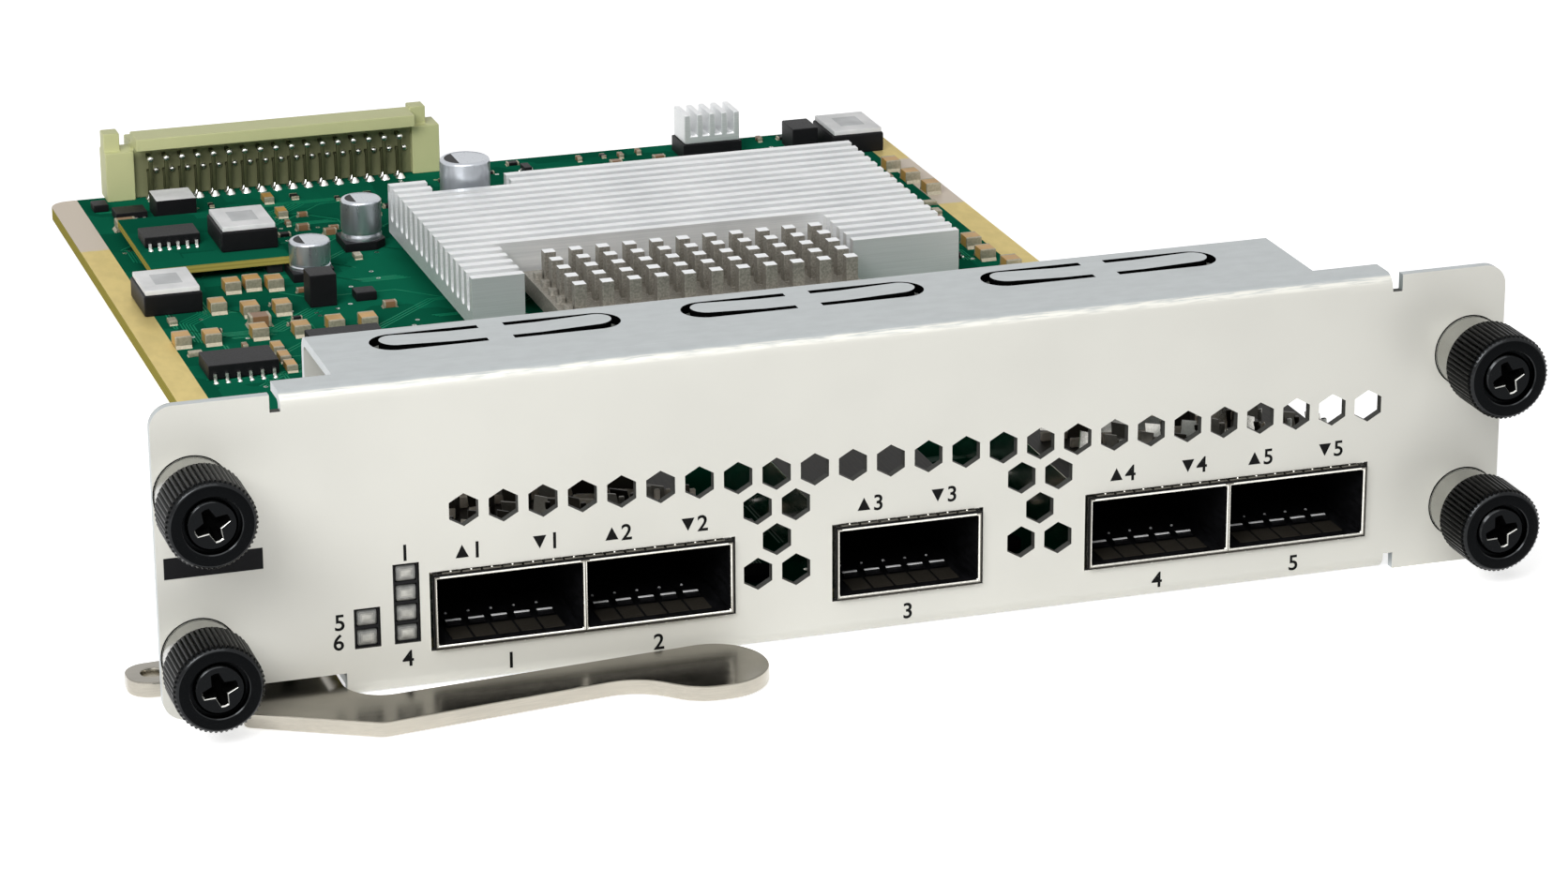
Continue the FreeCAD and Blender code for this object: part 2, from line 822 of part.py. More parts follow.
def lamp_lenses():
    """The clear lens in each lamp pocket."""
    lenses = []
    lens_front = lamp_front - lens_reach
    for left, lamps in zip(lamp_lefts, lamp_counts):
        middle = left + lamp_window_width / 2
        for z in lamp_centres(lamps):
            lenses.append(box(middle - lens_width / 2, middle + lens_width / 2, lens_front,
                              lens_front + lens_depth, z - lens_height / 2, z + lens_height / 2))
    return Part.makeCompound(lenses)


def rear_connector_housing():
    """The rear connector: a socket past the board's edge, a hood over the pins, and end flanges with ears."""
    inner_left = plug_left + plug_flange
    inner_right = plug_right - plug_flange
    top = board_top + plug_height
    shell_top = board_top + plug_shell_height
    hood_front = plug_wall_front - plug_hood_reach
    flange_front = plug_wall_front - plug_flange_reach
    flange_top = board_top + plug_flange_height
    pieces = [
        box(inner_left, inner_right, plug_wall_front, board_rear, board_top, top),
        box(inner_left, inner_right, board_rear, plug_mouth, board_top, shell_top),
        box(inner_left, inner_right, hood_front, plug_wall_front, top - plug_hood_height, top),
    ]
    for x0 in (plug_left, inner_right):
        pieces.append(box(x0, x0 + plug_flange, flange_front, board_rear + plug_flange_overhang, board_top,
                          flange_top))
        pieces.append(box(x0, x0 + plug_ear_width, plug_wall_front, plug_wall_front + plug_ear_length,
                          flange_top, board_top + plug_ear_height))
    socket = box(inner_left + plug_wall, inner_right - plug_wall, board_rear, plug_mouth + overshoot,
                 board_top + plug_wall, shell_top - plug_wall)
    return fused(pieces).cut(socket).Solids[0]


def rear_connector_pins():
    """Two rows of bent pins, from the socket through its back wall and down to the board."""
    pins = []
    half = pin_width / 2
    for row, reach in enumerate((pin_first_reach, pin_second_reach)):
        z = board_top + pin_row_rise + row * pin_row_spacing
        bend = plug_wall_front - reach
        tip = board_rear + pin_socket_reach
        for column in range(pin_columns):
            x = plug_centre + (column - (pin_columns - 1) / 2) * pin_pitch - half
            profile = [
                Vector(x, tip, z - half),
                Vector(x, tip, z + half),
                Vector(x, bend - half, z + half),
                Vector(x, bend - half, board_top),
                Vector(x, bend + half, board_top),
                Vector(x, bend + half, z - half),
            ]
            pins.append(prism(profile, Vector(pin_width, 0, 0)))
    return Part.makeCompound(pins)


def main_heatsink():
    """The extruded heatsink: fins across the board, round-bottomed slots, and two notches in plan."""
    fin_bottom = sink_bottom + sink_base
    fin_top = fin_bottom + sink_fin_height
    pitch = (sink_length - sink_fin_thickness) / (sink_fins - 1)
    slot_radius = (pitch - sink_fin_thickness) / 2
    spring = fin_bottom + slot_radius

    def on_end(y, z):
        return Vector(sink_left, y, z)

    outline = [
        Part.LineSegment(on_end(sink_rear, fin_top), on_end(sink_rear, sink_bottom)),
        Part.LineSegment(on_end(sink_rear, sink_bottom), on_end(sink_front, sink_bottom)),
        Part.LineSegment(on_end(sink_front, sink_bottom), on_end(sink_front, fin_top)),
    ]
    for index in range(sink_fins):
        y0 = sink_front + index * pitch
        y1 = y0 + sink_fin_thickness
        outline.append(Part.LineSegment(on_end(y0, fin_top), on_end(y1, fin_top)))
        if index < sink_fins - 1:
            y2 = y0 + pitch
            outline.append(Part.LineSegment(on_end(y1, fin_top), on_end(y1, spring)))
            lowest = on_end(y1 + slot_radius, fin_bottom)
            outline.append(Part.Arc(on_end(y1, spring), lowest, on_end(y2, spring)))
            outline.append(Part.LineSegment(on_end(y2, spring), on_end(y2, fin_top)))
    profile = Part.Face(Part.Wire([segment.toShape() for segment in outline]))
    sink = profile.extrude(Vector(sink_width, 0, 0))
    notches = []
    for offset, width, depth, from_front in (sink_front_notch + (True,), sink_rear_notch + (False,)):
        x0 = sink_left + offset
        y0 = sink_front - overshoot if from_front else sink_rear - depth
        y1 = sink_front + depth if from_front else sink_rear + overshoot
        notches.append(box(x0, x0 + width, y0, y1, sink_bottom - overshoot, fin_top + overshoot))
    return sink.cut(notches).Solids[0]


def pin_fin_heatsink():
    """The heatsink with square pins that stands in the front notch of the large one."""
    left = pin_sink_left
    right = left + pin_sink_width
    base_bottom = board_top + line_chip_height + pad_thickness
    base_top = base_bottom + pin_sink_base
    pieces = [box(left, right, pin_sink_front, pin_sink_front + pin_sink_length, base_bottom, base_top)]
    last_x = right - pin_sink_side_margin - pin_sink_pin / 2
    first_x = last_x - (pin_sink_columns - 1) * pin_sink_pitch
    first_y = pin_sink_front + pin_sink_front_margin + pin_sink_pin / 2
    for row in range(pin_sink_rows):
        y = first_y + row * pin_sink_pitch
        for column in range(pin_sink_columns):
            place = (first_x + column * pin_sink_pitch, y)
            pieces.append(block(place, (pin_sink_pin, pin_sink_pin), base_top, pin_sink_pin_height))
        stub_place = (left + pin_sink_stub, y)
        pieces.append(block(stub_place, (pin_sink_stub, pin_sink_stub), base_top, pin_sink_stub_height))
    return fused(pieces)


def thermal_pad(place, size, chip_top):
    """A soft pad, a little smaller than its chip, between the chip and its heatsink."""
    return block(place, (size[0] - 2 * pad_inset, size[1] - 2 * pad_inset), chip_top, pad_thickness)


def ribbed_heatsink():
    """The small heatsink with upright ribs on the power package."""
    z0 = board_top + package_height
    x, y = from_right(ribbed_place)
    half_x = ribbed_size[0] / 2
    pitch = (ribbed_size[0] - ribbed_fin_thickness) / (ribbed_fins - 1)
    pieces = [block((x, y), ribbed_size, z0, ribbed_base)]
    for index in range(ribbed_fins):
        place = (x - half_x + ribbed_fin_thickness / 2 + index * pitch, y)
        pieces.append(block(place, (ribbed_fin_thickness, ribbed_size[1]), z0 + ribbed_base,
                            ribbed_height - ribbed_base))
    return fused(pieces)


def power_board_corners():
    """The left, right, front and rear edges of the power board."""
    left, rear = from_left(power_board_place)
    return left, left + power_board_size[0], rear - power_board_size[1], rear


def power_board():
    """The small board that stands above the main board on spacers."""
    left, right, front, rear = power_board_corners()
    return box(left, right, front, rear, power_board_top - power_board_thickness, power_board_top)


def power_board_spacers():
    """Four square spacers under the corners of the power board."""
    spacers = []
    left, right, front, rear = power_board_corners()
    for x in (left + power_spacer_inset, right - power_spacer_inset):
        for y in (front + power_spacer_inset, rear - power_spacer_inset):
            spacers.append(block((x, y), (power_spacer, power_spacer), board_top, power_board_lift))
    return Part.makeCompound(spacers)


def inductor_seats():
    """Each inductor's place and the height of the board under it."""
    return (
        (from_left(inductor_left), board_top),
        (from_right(inductor_right), board_top),
        (from_left(inductor_on_power_board), power_board_top),
    )


def power_inductors():
    """The black inductor bodies."""
    bodies = [block(place, inductor_size, z, inductor_height) for place, z in inductor_seats()]
    return Part.makeCompound(bodies)


def inductor_tops():
    """The pale plates on top of the inductors."""
    size = (inductor_size[0] - 2 * inductor_top_inset, inductor_size[1] - 2 * inductor_top_inset)
    tops = [block(place, size, z + inductor_height, inductor_top) for place, z in inductor_seats()]
    return Part.makeCompound(tops)


def can_places():
    """Each can's place in plan, radius and height."""
    places = []
    for across, back, radius, height in cans:
        places.append((*from_left((across, back)), radius, height))
    notch_middle = sink_left + sink_rear_notch[0] + sink_rear_notch[1] / 2
    notch_front = sink_rear - sink_rear_notch[2]
    places.append((notch_middle, notch_front + tall_can_setback, tall_can_radius, tall_can_height))
    return places


def electrolytic_cans():
    """Round aluminium cans with a bevelled rim, on their black bases."""
    bodies = []
    for x, y, radius, height in can_places():
        z0 = board_top + can_base_height
        z1 = board_top + height - can_rim
        wall = post(radius, (x, y), z0, z1)
        rim = Part.makeCone(radius, radius - can_rim, can_rim, Vector(x, y, z1))
        bodies.append(fused([wall, rim]))
    return Part.makeCompound(bodies)


def electrolytic_bases():
    """The square bases of the cans, with two corners cut off to mark polarity."""
    bases = []
    for x, y, radius, height in can_places():
        half = radius + can_base_margin
        cut = half / 2
        points = [
            Vector(x - half, y - half, board_top), Vector(x + half - cut, y - half, board_top),
            Vector(x + half, y - half + cut, board_top), Vector(x + half, y + half - cut, board_top),
            Vector(x + half - cut, y + half, board_top), Vector(x - half, y + half, board_top),
        ]
        bases.append(prism(points, Vector(0, 0, can_base_height)))
    return Part.makeCompound(bases)


def chip_seats():
    """Each leaded chip's place, size, leads on a side, and the height of the board under it."""
    levels = [board_top] * len(leaded_chips) + [power_board_top]
    seats = []
    for chip, leads, z in zip(leaded_chips + (power_board_chip,), lead_counts, levels):
        seats.append((from_left(chip[:2]), chip[2:], leads, z))
    return seats


def leaded_chip_bodies():
    """The black bodies of the leaded chips."""
    bodies = []
    for place, (length, width, height), leads, z in chip_seats():
        bodies.append(block(place, (length, width), z + chip_standoff, height - chip_standoff))
    return Part.makeCompound(bodies)


def chip_leads():
    """The bent leads along both long sides of each leaded chip."""
    leads = []
    for (x, y), (length, width, height), count, z in chip_seats():
        pitch = length / count
        shoulder = z + height / 2
        for side in (-1, 1):
            edge = y + side * width / 2
            knee = edge + side * lead_shoulder
            foot = edge + side * lead_reach
            for index in range(count):
                x0 = x - length / 2 + (index + 0.5) * pitch - lead_width / 2
                profile = [
                    Vector(x0, edge, shoulder), Vector(x0, knee, shoulder),
                    Vector(x0, knee, z + lead_thickness), Vector(x0, foot, z + lead_thickness),
                    Vector(x0, foot, z), Vector(x0, edge, z),
                ]
                leads.append(prism(profile, Vector(lead_width, 0, 0)))
    return Part.makeCompound(leads)


def plain_blocks():
    """The black moulded parts that have no visible leads."""
    places = [(from_left(row[:2]), row[2:]) for row in left_blocks]
    places.append((from_right(right_block[:2]), right_block[2:]))
    blocks = [block(place, size[:2], board_top, size[2]) for place, size in places]
    return Part.makeCompound(blocks)


def ceramic_capacitors():
    """The small ceramic capacitors."""
    places = [from_left(place) for place in left_capacitors]
    places += [from_right(place) for place in right_capacitors]
    return Part.makeCompound([block(place, capacitor_size, board_top, capacitor_height) for place in places])


def all_nodes():
    """Every piece by its name."""
    nodes = {
        "front_panel": front_panel(),
        "screw_sleeves": Part.makeCompound([screw_sleeve(place) for place in screw_places.values()]),
        "ejector_lever": ejector_lever(),
        "lever_rivet": lever_rivet(),
        "lever_washer": lever_washer(),
        "main_board": main_board(),
        "board_standoffs": board_standoffs(),
        "board_screws": board_screws(),
        "host_connectors": host_connectors(),
        "lamp_lenses": lamp_lenses(),
        "rear_connector_housing": rear_connector_housing(),
        "rear_connector_pins": rear_connector_pins(),
        "main_heatsink": main_heatsink(),
        "main_chip": block(chip_centre, chip_size, board_top, chip_height),
        "main_thermal_pad": thermal_pad(chip_centre, chip_size, board_top + chip_height),
        "pin_fin_heatsink": pin_fin_heatsink(),
        "line_chip": block(line_chip_centre, line_chip_size, board_top, line_chip_height),
        "line_thermal_pad": thermal_pad(line_chip_centre, line_chip_size, board_top + line_chip_height),
        "ribbed_heatsink": ribbed_heatsink(),
        "power_package": block(from_right(ribbed_place), package_size, board_top, package_height),
        "power_board": power_board(),
        "power_board_spacers": power_board_spacers(),
        "power_inductors": power_inductors(),
        "inductor_tops": inductor_tops(),
        "electrolytic_cans": electrolytic_cans(),
        "electrolytic_bases": electrolytic_bases(),
        "leaded_chips": leaded_chip_bodies(),
        "chip_leads": chip_leads(),
        "black_blocks": plain_blocks(),
        "ceramic_capacitors": ceramic_capacitors(),
    }
    for name, place in screw_places.items():
        nodes["knob_" + name] = screw_knob(place)
        nodes["screw_" + name] = captive_screw(place)
        nodes["spring_seat_" + name] = spring_seat(place)
    cage_names = ("cage_left", "cage_middle", "cage_right")
    for name, centre, bays, width in zip(cage_names, port_centres, bay_counts, cage_widths):
        nodes[name] = port_cage(centre, bays, width)
    for name, left, lamps in zip(lamp_names, lamp_lefts, lamp_counts):
        nodes[name] = lamp_block(left, lamps)
    return nodes


os.makedirs("parts", exist_ok=True)
for node_name, shape in all_nodes().items():
    shape.exportStep("parts/" + node_name + ".step")
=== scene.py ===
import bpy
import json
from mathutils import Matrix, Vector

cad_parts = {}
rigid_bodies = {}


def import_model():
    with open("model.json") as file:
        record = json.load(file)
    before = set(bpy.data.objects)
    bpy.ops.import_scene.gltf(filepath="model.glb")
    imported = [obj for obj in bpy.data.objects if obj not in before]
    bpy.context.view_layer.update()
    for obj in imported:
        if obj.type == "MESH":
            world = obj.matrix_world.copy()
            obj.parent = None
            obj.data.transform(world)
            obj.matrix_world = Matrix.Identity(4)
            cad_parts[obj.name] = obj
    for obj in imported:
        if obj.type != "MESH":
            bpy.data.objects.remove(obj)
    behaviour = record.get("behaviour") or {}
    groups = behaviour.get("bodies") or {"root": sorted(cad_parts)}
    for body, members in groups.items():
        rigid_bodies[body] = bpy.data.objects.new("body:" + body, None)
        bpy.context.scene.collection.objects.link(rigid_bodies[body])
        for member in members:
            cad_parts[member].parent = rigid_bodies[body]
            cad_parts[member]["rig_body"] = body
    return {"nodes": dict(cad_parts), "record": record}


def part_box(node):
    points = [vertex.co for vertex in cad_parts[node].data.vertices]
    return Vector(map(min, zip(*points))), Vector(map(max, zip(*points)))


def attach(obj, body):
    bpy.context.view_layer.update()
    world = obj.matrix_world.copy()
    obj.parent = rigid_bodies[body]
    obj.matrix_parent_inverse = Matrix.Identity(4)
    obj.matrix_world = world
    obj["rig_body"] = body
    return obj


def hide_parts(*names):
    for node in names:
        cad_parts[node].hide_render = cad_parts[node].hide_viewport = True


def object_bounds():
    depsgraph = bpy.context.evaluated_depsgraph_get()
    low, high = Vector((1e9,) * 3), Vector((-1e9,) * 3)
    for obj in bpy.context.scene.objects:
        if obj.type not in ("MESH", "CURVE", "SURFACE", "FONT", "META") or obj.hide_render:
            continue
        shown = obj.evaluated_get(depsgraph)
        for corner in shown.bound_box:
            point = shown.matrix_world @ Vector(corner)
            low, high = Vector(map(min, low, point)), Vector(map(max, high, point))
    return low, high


bl_info = {
    "name": "Muxponder module",
    "version": (1, 0, 0),
    "blender": (4, 5, 0),
    "location": "3D View > Sidebar > Module",
    "description": "Finishes, print, small parts and a studio for a plug-in line card",
    "category": "Object",
}

import json
import math
import random

import bmesh
import bpy
from bpy.props import FloatProperty, FloatVectorProperty, IntProperty, PointerProperty
from mathutils import Matrix, Vector

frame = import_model()
cad_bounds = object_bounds()

# Metres in a millimetre
MM = 0.001
QUARTER_TURN = math.radians(90)

SLOTS = {row["node"]: row["material_slot"] for row in frame["record"]["subparts"]}
SCREWS = ("top_left", "bottom_left", "top_right", "bottom_right")
CAGE_BAYS = {"cage_left": 2, "cage_middle": 1, "cage_right": 2}

board_low, board_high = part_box("main_board")
panel_low, panel_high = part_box("front_panel")
board_top = board_high.z
panel_face = panel_low.y

# Meshes: points this close are joined, faces this flat are merged, edges this sharp are rounded,
# and edges this sharp stay hard when they are shaded
WELD = 1e-6
FLAT_ANGLE = math.radians(0.6)
SHARP_ANGLE = math.radians(28)
CREASE_ANGLE = math.radians(38)

# How far the edges of each solid are rounded, in millimetres
ROUNDING = {
    "front_panel": 0.12, "screw_sleeves": 0.25, "ejector_lever": 0.3, "lever_rivet": 0.25,
    "lever_washer": 0.1, "host_connectors": 0.15, "lamp_block_two": 0.08, "lamp_block_four": 0.08,
    "main_board": 0.08, "board_standoffs": 0.12, "board_screws": 0.3, "main_heatsink": 0.12,
    "pin_fin_heatsink": 0.12, "ribbed_heatsink": 0.3, "main_chip": 0.15, "line_chip": 0.15,
    "power_package": 0.15, "main_thermal_pad": 0.08, "line_thermal_pad": 0.08, "rear_connector_housing": 0.25,
    "rear_connector_pins": 0.14, "power_board": 0.06, "power_board_spacers": 0.1, "power_inductors": 0.3,
    "inductor_tops": 0.15, "electrolytic_bases": 0.15, "leaded_chips": 0.16, "black_blocks": 0.2,
    **dict.fromkeys(("spring_seat_" + name for name in SCREWS), 0.08), **dict.fromkeys(CAGE_BAYS, 0.22),
}


def srgb(red, green, blue):
    """A colour as it looks on screen, from 0 to 255, in linear values."""
    linear = []
    for value in (red, green, blue):
        share = value / 255
        linear.append(share / 12.92 if share <= 0.04045 else ((share + 0.055) / 1.055) ** 2.4)
    return tuple(linear)


def rgba(colour, level=1.0):
    """A colour made darker or lighter, with full cover."""
    return tuple(min(1.0, part * level) for part in colour[:3]) + (1.0,)


def colour(name, description, red, green, blue):
    """A colour that a user may change."""
    return FloatVectorProperty(
        name=name, description=description, subtype="COLOR", size=3, min=0.0, max=1.0,
        default=srgb(red, green, blue))


def length(name, description, millimetres):
    """A length that a user may change."""
    return FloatProperty(
        name=name, description=description, unit="LENGTH", min=0.0, precision=5,
        default=millimetres * MM)


class ModuleColours(bpy.types.PropertyGroup):
    """The colours of the module's finishes."""

    lacquer: colour("Lacquer", "Face of the front panel", 219, 218, 210)
    zinc: colour("Zinc", "Folds and back of the front panel", 190, 195, 196)
    # Painted shade: the slit colour darkens the flange's slits and the screws' crosses, and makes a painted
    # shadow ring round each sleeve's foot
    slit: colour("Slit", "Dark joints, slits and recesses", 6, 6, 6)
    # Painted shade: the cut edge colour darkens the walls of the vents and windows
    cut: colour("Cut edge", "Cut edges of the panel's vents and windows", 64, 64, 61)
    nickel: colour("Nickel", "Rims, walls and fingers of the cages", 230, 228, 220)
    # Painted shade: this dark colour lies on the cages' roofs, the plates in the ports and some roof springs
    roof: colour("Cage roof", "Roofs of the cages and plates in the ports", 42, 39, 34)
    sleeve: colour("Sleeve", "Sleeves of the thumbscrews", 172, 172, 168)
    warm_nickel: colour("Warm nickel", "Ejector lever and its pivot", 174, 169, 158)
    steel: colour("Steel", "Spring seats and the strips round the ports", 104, 101, 94)
    fixing: colour("Fixing", "Standoffs and board screws", 14, 14, 14)
    knob: colour("Knob", "Knurled knobs", 16, 17, 18)
    edge: colour("Knob edge", "Polished bevels of the knobs and screws", 44, 45, 46)
    # Painted highlight: the glint colour brightens the upward lips of the screws' crosses
    glint: colour("Glint", "Worn lips of the screws' crosses", 160, 160, 156)
    screw: colour("Screw", "Captive screws", 24, 25, 26)
    mask: colour("Solder mask", "Both circuit boards", 16, 100, 74)
    trace: colour("Trace", "Tracks under the solder mask", 26, 140, 102)
    gold: colour("Gold", "Plated strips along the board's edges", 238, 216, 146)
    # Painted highlight: on the feet and some blades of the roof springs this pale colour stands in for light
    bare: colour("Bare strip", "Bare lengths of the edge strips, and pale springs", 222, 210, 195)
    laminate: colour("Laminate", "Cut edges of the boards", 176, 164, 84)
    tin: colour("Tin", "Solder, leads and pins", 222, 222, 218)
    ends: colour("Ends", "Tinned ends of the capacitors", 178, 170, 148)
    leg: colour("Pin leg", "Pins of the rear connector in the shade", 92, 95, 68)
    moulding: colour("Moulding", "Black moulded parts", 20, 20, 22)
    cream: colour("Cream", "Rear connector", 212, 214, 160)
    aluminium: colour("Aluminium", "Finned heatsinks", 246, 248, 249)
    # Painted shade: the darker colour of the pin heatsink's sides and floor
    blasted: colour("Blasted aluminium", "Sides of the pin heatsink", 150, 146, 137)
    # Painted highlight: this pale colour also lies on the edges and dimples of the port fingers
    pale: colour("Pale top", "Tops of the inductors", 250, 251, 251)
    mark: colour("Grey mark", "Bare marks on the inductors", 212, 214, 215)
    can: colour("Can", "Electrolytic cans", 196, 200, 206)
    ceramic: colour("Ceramic", "Ceramic capacitors", 205, 158, 84)
    brown: colour("Brown ceramic", "Smaller capacitors", 142, 106, 74)
    pad: colour("Thermal pad", "Soft pads under the heatsinks", 150, 154, 164)
    lens: colour("Lens", "Clear blocks of the lamps", 84, 85, 82)
    haze: colour("Haze", "Hazy borders round the lamps' insides", 124, 124, 120)
    diode: colour("Diode", "Insides of the lamps", 152, 151, 145)
    heart: colour("Heart", "Pale middles of the lamps", 182, 181, 174)
    print_black: colour("Black print", "Numbers and marks on the panel", 12, 12, 12)
    floor: colour("Floor", "Floor of the studio", 254, 254, 254)


class ModuleSizes(bpy.types.PropertyGroup):
    """The sizes of the pieces that the solids leave plain."""

    knurls: IntProperty(name="Knurls", description="Grooves round a knob", min=12, max=90, default=54)
    knurl_depth: length("Knurl depth", "Depth of a groove", 0.3)
    knob_bevel: length("Knob bevel", "Bevel round the front of a knob", 0.36)
    knob_wall: length("Knob wall", "Thickness of a knob behind its face", 1.5)
    ring_groove: length("Ring groove", "Groove between a knob and its screw", 0.45)
    hub_radius: length("Hub radius", "Radius of the screw inside its knob", 2.4)
    skirt_gap: length("Skirt gap", "Room between a knob's skirt and its sleeve", 0.2)
    recess_span: length("Recess span", "Tip to tip of a screw's cross", 4.5)
    recess_width: length("Recess width", "Width of an arm of the cross", 1.25)
    recess_depth: length("Recess depth", "Depth of the cross", 1.1)
    thread_pitch: length("Thread pitch", "Pitch of the screw threads", 0.5)
    thread_depth: length("Thread depth", "Depth of the screw threads", 0.22)
    bay_pitch: length("Bay pitch", "Distance between neighbouring ports", 19.0)
    bay_width: length("Bay width", "Inside width of a port", 18.4)
    cage_wall: length("Cage wall", "Thickness of the cage's sheet", 0.6)
    digit_height: length("Digit height", "Height of the numbers on the panel", 2.1)
    strip_width: length("Strip width", "Width of the bare edge strips", 4.5)
    connector_flange: length("Connector flange", "Width of each end of the rear connector", 4.6)


class ModuleStudio(bpy.types.PropertyGroup):
    """The camera and the lights."""

    place: FloatVectorProperty(
        name="Camera place", description="Where the camera stands", subtype="TRANSLATION", unit="LENGTH",
        size=3, default=(-0.185915, -0.545691, 0.211173))
    heading: FloatProperty(
        name="Heading", description="Turn of the camera to the right of straight ahead", unit="ROTATION",
        default=math.radians(17.96))
    dip: FloatProperty(
        name="Dip", description="Tilt of the camera below level", unit="ROTATION",
        default=math.radians(19.49))
    roll: FloatProperty(
        name="Roll", description="Roll of the camera", unit="ROTATION", default=math.radians(-0.27))
    lens: FloatProperty(name="Lens", description="Focal length in millimetres", min=1.0, default=112.66)
    fill: FloatProperty(name="Fill", description="Light from all round", min=0.0, default=0.14)
    key: FloatProperty(name="Key", description="Power of the large lamp, in watts", min=0.0, default=3.9)
    top: FloatProperty(name="Top", description="Power of the overhead lamp, in watts", min=0.0, default=3.6)


class Wire:
    """An output socket of a node. Sums on it add Math nodes to its tree."""

    def __init__(self, tree, socket):
        self.tree = tree
        self.socket = socket

    def maths(self, operation, first, second=0.0):
        return self.tree.node("ShaderNodeMath", {"operation": operation}, {0: first, 1: second})

    def __add__(self, other):
        return self.maths("ADD", self, other)

    def __radd__(self, other):
        return self.maths("ADD", other, self)

    def __sub__(self, other):
        return self.maths("SUBTRACT", self, other)

    def __rsub__(self, other):
        return self.maths("SUBTRACT", other, self)

    def __mul__(self, other):
        return self.maths("MULTIPLY", self, other)

    def __rmul__(self, other):
        return self.maths("MULTIPLY", other, self)

    def __gt__(self, other):
        return self.maths("GREATER_THAN", self, other)

    def __lt__(self, other):
        return self.maths("LESS_THAN", self, other)

    def __abs__(self):
        return self.maths("ABSOLUTE", self)

    def most(self, other):
        return self.maths("MAXIMUM", self, other)

    def swing(self, reach):
        """Runs up and down between 0 and reach as the value grows."""
        return self.maths("PINGPONG", self, reach)

    def ramp(self, low, high):
        """A soft step from 0 at low to 1 at high."""
        return self.tree.node(
            "ShaderNodeMapRange", {"interpolation_type": "SMOOTHSTEP"},
            {"Value": self, "From Min": low, "From Max": high})


class Tree:
    """A node tree. Any node comes from its node method."""

    def __init__(self, owner):
        self.nodes = owner.node_tree.nodes
        self.links = owner.node_tree.links

    def node(self, kind, settings=None, inputs=None, output=0):
        """Adds a node, sets its settings, then its inputs, and returns one of its outputs."""
        node = self.nodes.new(kind)
        for name, value in (settings or {}).items():
            setattr(node, name, value)
        for name, value in (inputs or {}).items():
            self.feed(node.inputs[name], value)
        return Wire(self, node.outputs[output])

    def feed(self, socket, value):
        """Links a wire to a socket, or sets the socket's value."""
        if isinstance(value, Wire):
            self.links.new(value.socket, socket)
        else:
            socket.default_value = value

    def blend(self, factor, first, second):
        """A colour between two colours."""
        return self.node("ShaderNodeMix", {"data_type": "RGBA"}, {0: factor, 6: first, 7: second}, 2)


# What the names of the module's own materials start with
FINISH_NAME = "module_"


class Finish(Tree):
    """A material with one Principled shader, and the patterns that feed it."""

    def __init__(self, name, roughness, metallic=0.0, constants=None):
        self.material = bpy.data.materials.new(FINISH_NAME + name)
        self.material.use_nodes = True
        super().__init__(self.material)
        self.shader = self.nodes["Principled BSDF"]
        self.set("Roughness", roughness)
        self.set("Metallic", metallic)
        for socket, value in (constants or {}).items():
            self.set(socket, value)

    def set(self, socket, value):
        self.feed(self.shader.inputs[socket], value)

    def place(self, stretch=(1.0, 1.0, 1.0)):
        """The point on the surface in millimetres, stretched along the axes."""
        point = self.node("ShaderNodeTexCoord", output="Object")
        scale = tuple(part / MM for part in stretch)
        return self.node("ShaderNodeVectorMath", {"operation": "MULTIPLY"}, {0: point, 1: scale})

    def parts(self, vector):
        """The three parts of a vector."""
        first = self.node("ShaderNodeSeparateXYZ", None, {0: vector})
        return [Wire(self, socket) for socket in first.socket.node.outputs]

    def facing(self):
        """The three parts of the surface's direction."""
        return self.parts(self.node("ShaderNodeTexCoord", output="Normal"))

    def noise(self, point, scale, detail=2.0):
        return self.node("ShaderNodeTexNoise", None, {"Vector": point, "Scale": scale, "Detail": detail})

    def tone(self, factor, colour, dark, light):
        """A colour that runs from a darker to a lighter level of itself."""
        return self.blend(factor, rgba(colour, dark), rgba(colour, light))

    def streaks(self, stretch, scale):
        """Fine streaks, wide clouds, and the two mixed."""
        streaks = self.noise(self.place(stretch), 1.0, 4.0)
        clouds = self.noise(self.place(), scale)
        return streaks, clouds, (streaks * 0.6 + clouds * 0.4).ramp(0.3, 0.7)

    def done(self, colour, roughness, pattern, share, relief):
        """Sets the colour, a roughness that follows a pattern, and the pattern's relief in millimetres."""
        self.set("Base Color", colour)
        self.set("Roughness", roughness + pattern * share)
        self.set("Normal", self.node("ShaderNodeBump", None, {"Height": pattern, "Distance": relief * MM}))
        return self.material


